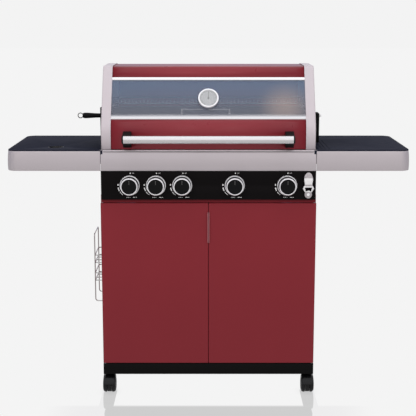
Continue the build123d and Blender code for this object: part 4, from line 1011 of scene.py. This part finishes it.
lower_cut, lower_end = cut_on_lean(skin_line, 0.036)
upper_cut, upper_start = cut_on_lean(skin_line, 0.1930)
lower_line = [(lid_front + skin_depth + 0.012, lid_rim + 0.0001), (lid_front + skin_depth + 0.0016, lid_rim + 0.0001),
              (lid_front + skin_depth + 0.0004, lid_rim + 0.0006), (lid_front + skin_depth, lid_rim + 0.0018)]
lower_line += skin_line[1:lower_cut] + [lower_end]
upper_line = [upper_start] + skin_line[upper_cut:]


def lid_skin(name, line):
    skin = bmesh.new()
    skinned(skin, [[(x, y, z) for x in (-skin_half, 0.0, skin_half)] for y, z in line])
    return walled(piece_of(name, skin, lid_red), 0.0018)


fitted(lid_skin("lid_skin_lower", lower_line), "lid", "red_paint", "lid_lower_panel")
upper_skin = lid_skin("lid_skin_upper", upper_line)
hinge_y, hinge_z, leaf_z = 0.2515, 1.018, 1.030
leaf_half, leaf_sheet, leaf_round = 0.014, 0.003, 0.0008
leaf_face = lid_rear - skin_depth
leaves = bmesh.new()
for x in (-0.300, 0.300):
    x0, x1 = x - leaf_half, x + leaf_half
    rounded_box(leaves, (x0, leaf_face, leaf_z), (x1, leaf_face + leaf_sheet, leaf_z + 0.032), leaf_round)
    rounded_box(leaves, (x0, leaf_face, leaf_z), (x1, hinge_y + 0.004, leaf_z + leaf_sheet), leaf_round)
    rounded_box(leaves, (x0, hinge_y - 0.004, hinge_z + 0.002), (x1, hinge_y + 0.004, leaf_z + leaf_sheet), leaf_round)
    turned(leaves, [(0.0042, -leaf_half), (0.0076, -leaf_half), (0.008, -0.0136), (0.008, 0.0136), (0.0076, leaf_half),
                    (0.0042, leaf_half)], along_x(x, hinge_y, hinge_z), 36, closed=True)
    for z in (leaf_z + 0.011, leaf_z + 0.024):
        turned(leaves, [(0.0, 0.0), (0.0045, 0.0), (0.0043, 0.0012), (0.0032, 0.0021), (0.0, 0.0025)],
               Matrix.Translation((x, leaf_face + leaf_sheet, z)) @ Matrix.Rotation(-math.pi / 2.0, 4, "X"), 20)
fitted(taken_in(upper_skin, piece_of("hinge_leaves", leaves, zinc_sheet)), "lid", "red_paint", "lid_top_panel")
fitted(piece_of("hinge_lugs", folded_sheet("lid_hinges", 0.0007), zinc_sheet), "trolley", "zinc_steel", "lid_hinges")


def trim_finish(name, colour, rough, peel):
    return finish(name, colour, (0.08, (3.0, 60.0, 60.0)), (rough, 0.10), (peel, (30.0, 1500.0, 1500.0)), Metallic=1.0)


# The upper trim is plain chrome; the lower trim's upper half takes a darker grey copy of the chrome and its lower half
# a lighter grey copy.
trim_chrome = trim_finish("trim_chrome", (0.92, 0.91, 0.91), 0.14, 0.03)
lower_trim_dark_half = trim_finish("lower_trim_dark_half", (0.585, 0.575, 0.595), 0.34, 0.04)
lower_trim_light_half = trim_finish("lower_trim_light_half", (0.77, 0.755, 0.77), 0.22, 0.03)
trim_half = 0.3397
trims = bmesh.new()
for first, width, lower in ((0.0322, 0.0148, True), (0.1840, 0.0122, False)):
    rows = []
    for n in range(13):
        share = n / 12
        rise = 0.0004 + 0.0021 * math.sin(math.pi * share) ** 0.6
        y, z = on_lean(first + width * share, -skin_depth + rise)
        rows.append([(x, y, z) for x in (-trim_half, 0.0, trim_half)])
    foot = [[(x, *on_lean(first + width * share, -skin_depth)) for x in (-trim_half, 0.0, trim_half)]
            for share in (1.0, 0.0)]
    start = len(trims.faces)
    skinned(trims, rows + foot + rows[:1])
    trims.faces.ensure_lookup_table()
    for face in trims.faces[start:]:
        middle = face.calc_center_median()
        face.material_index = 1 + int(lean_share((middle.y, middle.z)) < first + 0.5 * width) if lower else 0
bmesh.ops.remove_doubles(trims, verts=trims.verts, dist=1e-6)
bmesh.ops.holes_fill(trims, edges=[e for e in trims.edges if e.is_boundary])
bmesh.ops.recalc_face_normals(trims, faces=trims.faces)
fitted(piece_of("chrome_trims", trims, trim_chrome, lower_trim_dark_half, lower_trim_light_half, crease=50.0), "lid", "chrome", "lid_trims")


# Lid glass: one pane of tinted tempered glass behind the trims, with a hole for the thermometer.
# Its colour is the pane's tint with a painted reflection over it, pale blue above fading to grey below, and a painted
# warm glow near the right end.
def glazing(name, rough, alpha):
    glass = bpy.data.materials.new(name)
    glass.use_nodes = True
    glass.surface_render_method = "BLENDED"
    shader = glass.node_tree.nodes["Principled BSDF"]
    shader.inputs["Roughness"].default_value = rough
    shader.inputs["Alpha"].default_value = alpha
    return glass, shader


def painted_pane_reflection():
    tree, given, made = node_group("painted_pane_reflection", [("Painted reflection above", "NodeSocketColor", (0.28, 0.37, 0.55, 1.0)),
                                                 ("Painted reflection below", "NodeSocketColor", (0.30, 0.32, 0.40, 1.0)),
                                                 ("Painted warm glow", "NodeSocketColor", (0.80, 0.66, 0.64, 1.0))],
                                   [("Color", "NodeSocketColor")])
    given = given.outputs
    place = placed(tree, "TexCoord").outputs["Object"]
    # Painted reflection: pale blue up high, grey lower down, and a painted warm glow around one spot near the right
    # end.
    height = placed(tree, "SeparateXYZ", {0: place}).outputs["Z"]
    reflection_fade = placed(tree, "Mix", {"Factor": ranged(tree, height, 1.03, 1.11), "A": given["Painted reflection below"], "B": given["Painted reflection above"]},
                  data_type="RGBA")
    spot = placed(tree, "VectorMath", {0: place, 1: (0.268, -0.14, 1.040)}, operation="DISTANCE").outputs["Value"]
    near = ranged(tree, spot, 0.11, 0.0, high=0.84, shape="SMOOTHSTEP")
    painted_warm_glow = placed(tree, "Mix", {"Factor": near, "A": reflection_fade.outputs["Result"], "B": given["Painted warm glow"]}, data_type="RGBA")
    tree.links.new(painted_warm_glow.outputs["Result"], made.inputs["Color"])
    return tree


lid_glass, glass_shader = glazing("tinted_glass", 0.06, 0.25)
glass_painted_reflection = placed(lid_glass.node_tree, "Group", node_tree=painted_pane_reflection())
lid_glass.node_tree.links.new(glass_painted_reflection.outputs["Color"], glass_shader.inputs["Base Color"])
coated("lid_glass", lid_glass)


# Lid handle: a brushed stainless tube between two black moulded brackets with end caps.
# The brackets are screwed through the lower skin.
brushed_tube = finish("brushed_tube", (0.74, 0.72, 0.73), tone=(0.10, (3.0, 500.0, 500.0)), rough=(0.17, 0.12),
                      skin=(0.05, (24.0, 2400.0, 2400.0)), Metallic=0.8)
handle_y, handle_z, handle_r, handle_half = -0.247, 0.940, 0.0135, 0.292
tube = bmesh.new()
turned(tube, [(handle_r - 0.0015, -handle_half), (handle_r, -handle_half), (handle_r, handle_half),
              (handle_r - 0.0015, handle_half)], along_x(0.0, handle_y, handle_z), 56, closed=True)
fitted(piece_of("handle_tube", tube, brushed_tube), "lid", "stainless", "lid_handle")
bracket_plastic = finish("bracket_plastic", (0.0075, 0.0075, 0.0078), tone=(0.25, 80.0), rough=(0.42, 0.15),
                         skin=(0.15, 1300.0), Specular_IOR_Level=0.06)
brackets = folded_sheet("handle_brackets", 0.0016)
for side in (-1.0, 1.0):
    turned(brackets, [(0.0, 0.0), (0.0130, 0.0), (0.0134, 0.0006), (0.0134, 0.0040), (0.0128, 0.0056),
                      (0.0112, 0.0064), (0.0, 0.0066)],
           along_x(side * (handle_half - 0.0008), handle_y, handle_z, side), 48)
fitted(piece_of("handle_mouldings", brackets, bracket_plastic), "lid", "black_plastic", "handle_brackets")


# Thermometer: a stainless case with a rolled rim, a pale printed dial and one hand under a glass lens.
# Its probe goes through the lid glass and a nut holds it from behind.
gauge_y, gauge_z = on_lean(0.11048, -skin_depth)
gauge_place = Matrix(((1.0, 0.0, 0.0, 0.0), (0.0, math.sin(lean), -math.cos(lean), gauge_y),
                      (0.0, math.cos(lean), math.sin(lean), gauge_z), (0.0, 0.0, 0.0, 1.0)))
case = bmesh.new()
turned(case, [(0.0, 0.0), (0.0342, 0.0), (0.0356, 0.0012), (0.0360, 0.0030), (0.0360, 0.0092), (0.0356, 0.0108),
              (0.0344, 0.0118), (0.0328, 0.0120), (0.0316, 0.0117), (0.0308, 0.0108), (0.0305, 0.0090),
              (0.0, 0.0090)], gauge_place, 72)
turned(case, [(0.0, -0.060), (0.0026, -0.060), (0.0030, -0.0594), (0.0030, 0.001), (0.0, 0.001)], gauge_place, 20)
turned(case, [(0.0031, -0.0088), (0.0094, -0.0088), (0.0100, -0.0082), (0.0100, -0.0044), (0.0094, -0.0040),
              (0.0031, -0.0040)], gauge_place, 6, closed=True)
dial = bmesh.new()
turned(dial, [(0.0304, 0.0090), (0.0304, 0.0093), (0.0, 0.0093)], gauge_place, 60)
dial_paint = finish("dial_paint", (0.38, 0.38, 0.395), tone=(0.25, 180.0), rough=(0.5, 0.1), skin=(0.03, 700.0))
dial_ink = finish("dial_ink", (0.06, 0.06, 0.063), tone=(0.3, 400.0), rough=(0.5, 0.1), skin=(0.03, 900.0))
ticks = []
for count, step, long, wide in ((41, 7.5, 0.0034, 0.0003), (11, 30.0, 0.0062, 0.0006)):
    tick = bmesh.new()
    rounded_box(tick, (-wide, 0.0290 - long, 0.0092), (wide, 0.0290, 0.0095), 0.0)
    ring = repeated("dial_ticks", tick, dial_ink, count, turn=(0.0, 0.0, math.radians(-step)),
                    tilt=(0.0, 0.0, math.radians(150.0)))
    ring.data.transform(gauge_place)
    ticks.append(ring)
hand = bmesh.new()
rounded_box(hand, (-0.0007, -0.006, 0.0097), (0.0007, 0.0245, 0.0102), 0.0002)
turned(hand, [(0.0, 0.0092), (0.0030, 0.0092), (0.0030, 0.0104), (0.0024, 0.0107), (0.0, 0.0107)],
       Matrix.Identity(4), 24)
hand.transform(gauge_place)
gauge = taken_in(piece_of("thermometer_case", case, bezel_chrome), piece_of("dial", dial, dial_paint), *ticks,
                 piece_of("hand", hand, dial_ink))
fitted(gauge, "lid", "stainless", "thermometer")
lens = bmesh.new()
turned(lens, [(0.0, 0.0110), (0.0307, 0.0110), (0.0307, 0.0114), (0.0215, 0.0117), (0.0, 0.0118)], gauge_place, 60)
lens_glass, lens_shader = glazing("clear_glass", 0.03, 0.12)
lens_shader.inputs["Base Color"].default_value = (0.9, 0.92, 0.93, 1.0)
fitted(piece_of("thermometer_lens", lens, lens_glass), "lid", "glass")


# Rotisserie: a round steel spit with two clamped forks, a black grip and a wire ring to hang it by.
# It lies in an open slot of the left bracket and in the hole of the motor bracket on the right.
spit_y, spit_z, spit_r = 0.015, 0.99905, 0.005
spit_left, spit_right = -0.404, 0.412
spit_steel = finish("spit_steel", (0.95, 0.94, 0.93), tone=(0.12, (5.0, 90.0, 90.0)), rough=(0.30, 0.15),
                    skin=(0.05, (40.0, 1500.0, 1500.0)), Metallic=0.1)
rod = bmesh.new()
turned(rod, [(0.0, spit_left), (spit_r, spit_left), (spit_r, spit_right - 0.030),
             (spit_r - 0.0005, spit_right - 0.0015), (spit_r - 0.0012, spit_right), (0.0, spit_right)],
       along_x(0.0, spit_y, spit_z), 28)
fitted(piece_of("spit_bar", rod, spit_steel), "spit", "stainless", "spit_rod")
grip = bmesh.new()
turned(grip, [(0.0, -0.0083), (0.0072, -0.0083), (0.0078, -0.0076), (0.0080, 0.0), (0.0082, 0.0075),
              (0.0086, 0.0150), (0.0095, 0.0280), (0.0103, 0.0400), (0.0104, 0.0460), (0.0100, 0.0510),
              (0.0090, 0.0545), (0.0076, 0.0560), (0.0, 0.0560)], along_x(spit_left, spit_y, spit_z, -1.0), 40)
ring_r, ring_x = 0.009, spit_left - 0.056 - 0.009
loop = [(ring_x + ring_r * math.cos(a), spit_y, spit_z + ring_r * math.sin(a))
        for a in (2.0 * math.pi * n / 40 for n in range(41))]
grip_ring = piece_of("grip_ring", wire_shape([loop], 0.0015), bracket_plastic)
fitted(taken_in(piece_of("spit_grip", grip, bracket_plastic), grip_ring), "spit", "black_plastic", "spit_handle")
bar_thick, prong_rise = 0.005, 0.022
forks = []
for x, facing in ((-0.097, 1.0), (0.077, -1.0)):
    collar = bmesh.new()
    turned(collar, [(0.0053, -0.0045), (0.0095, -0.0045), (0.0100, -0.0040), (0.0100, 0.0040), (0.0095, 0.0045),
                    (0.0053, 0.0045)], along_x(x, spit_y, spit_z), 36, closed=True)
    turned(collar, [(0.0, 0.006), (0.003, 0.006), (0.003, 0.0200), (0.0076, 0.0203), (0.0080, 0.0208),
                    (0.0080, 0.0234), (0.0074, 0.0240), (0.0, 0.0240)], towards_front(x, spit_y, spit_z), 32)
    for low, high in ((-0.024, -0.0085), (0.0085, 0.024)):
        rounded_box(collar, (x - bar_thick / 2.0, spit_y - bar_thick, spit_z + low),
                    (x + bar_thick / 2.0, spit_y + bar_thick, spit_z + high), 0.0012)
    for rise in (-prong_rise, prong_rise):
        turned(collar, [(0.0, 0.0), (0.002, 0.0), (0.002, 0.062), (0.0008, 0.0772), (0.0, 0.078)],
               along_x(x, spit_y, spit_z + rise, facing), 16)
    forks.append(piece_of("spit_fork_pair", collar, spit_steel))
fitted(taken_in(*forks), "spit", "stainless", "spit_forks")
spit_holders = piece_of("spit_holders", folded_sheet("spit_brackets", 0.0007), black_coat)
fitted(spit_holders, "trolley", "black_paint", "spit_brackets")


# Wire rack on the left side: two trays of chromed wire for spice jars, hooked on the cabinet side.
# One bent wire makes the frame; the trays are hoops and floor wires welded to it.
rack_near, rack_far = -0.3815, -0.4175
jar_front, jar_rear, jar_low, jar_top = -0.068, 0.064, 0.320, 0.573
jar_wire, jar_bend, hoop_rise, floor_step = 0.002, 0.009, 0.028, 0.044
outer = bent_path([(rack_near, jar_front, jar_low), (rack_far, jar_front, jar_low), (rack_far, jar_front, jar_top),
                   (rack_far, jar_rear, jar_top), (rack_far, jar_rear, jar_low), (rack_near, jar_rear, jar_low)],
                  jar_bend, 8)
jar_frame = piece_of("jar_rack_wires", wire_shape([outer], jar_wire, 4), rack_chrome)
hoop = bent_path([(rack_near, jar_front, 0.0), (rack_far, jar_front, 0.0), (rack_far, jar_rear, 0.0),
                  (rack_near, jar_rear, 0.0)], jar_bend, 8)
for floor_z in (0.465, 0.398):
    hoops = repeated("hoops", wire_shape([hoop], jar_wire, 4), rack_chrome, 2, (0.0, 0.0, hoop_rise),
                     place=(0.0, 0.0, floor_z))
    floor_wire = wire_shape([[(rack_far, jar_front, 0.0), (rack_near, jar_front, 0.0)]], jar_wire, 4)
    across = repeated("floor_wires", floor_wire, rack_chrome, 2, (0.0, floor_step, 0.0),
                      place=(0.0, floor_step, floor_z))
    taken_in(jar_frame, hoops, across)
fitted(jar_frame, "trolley", "chrome", "spice_rack")
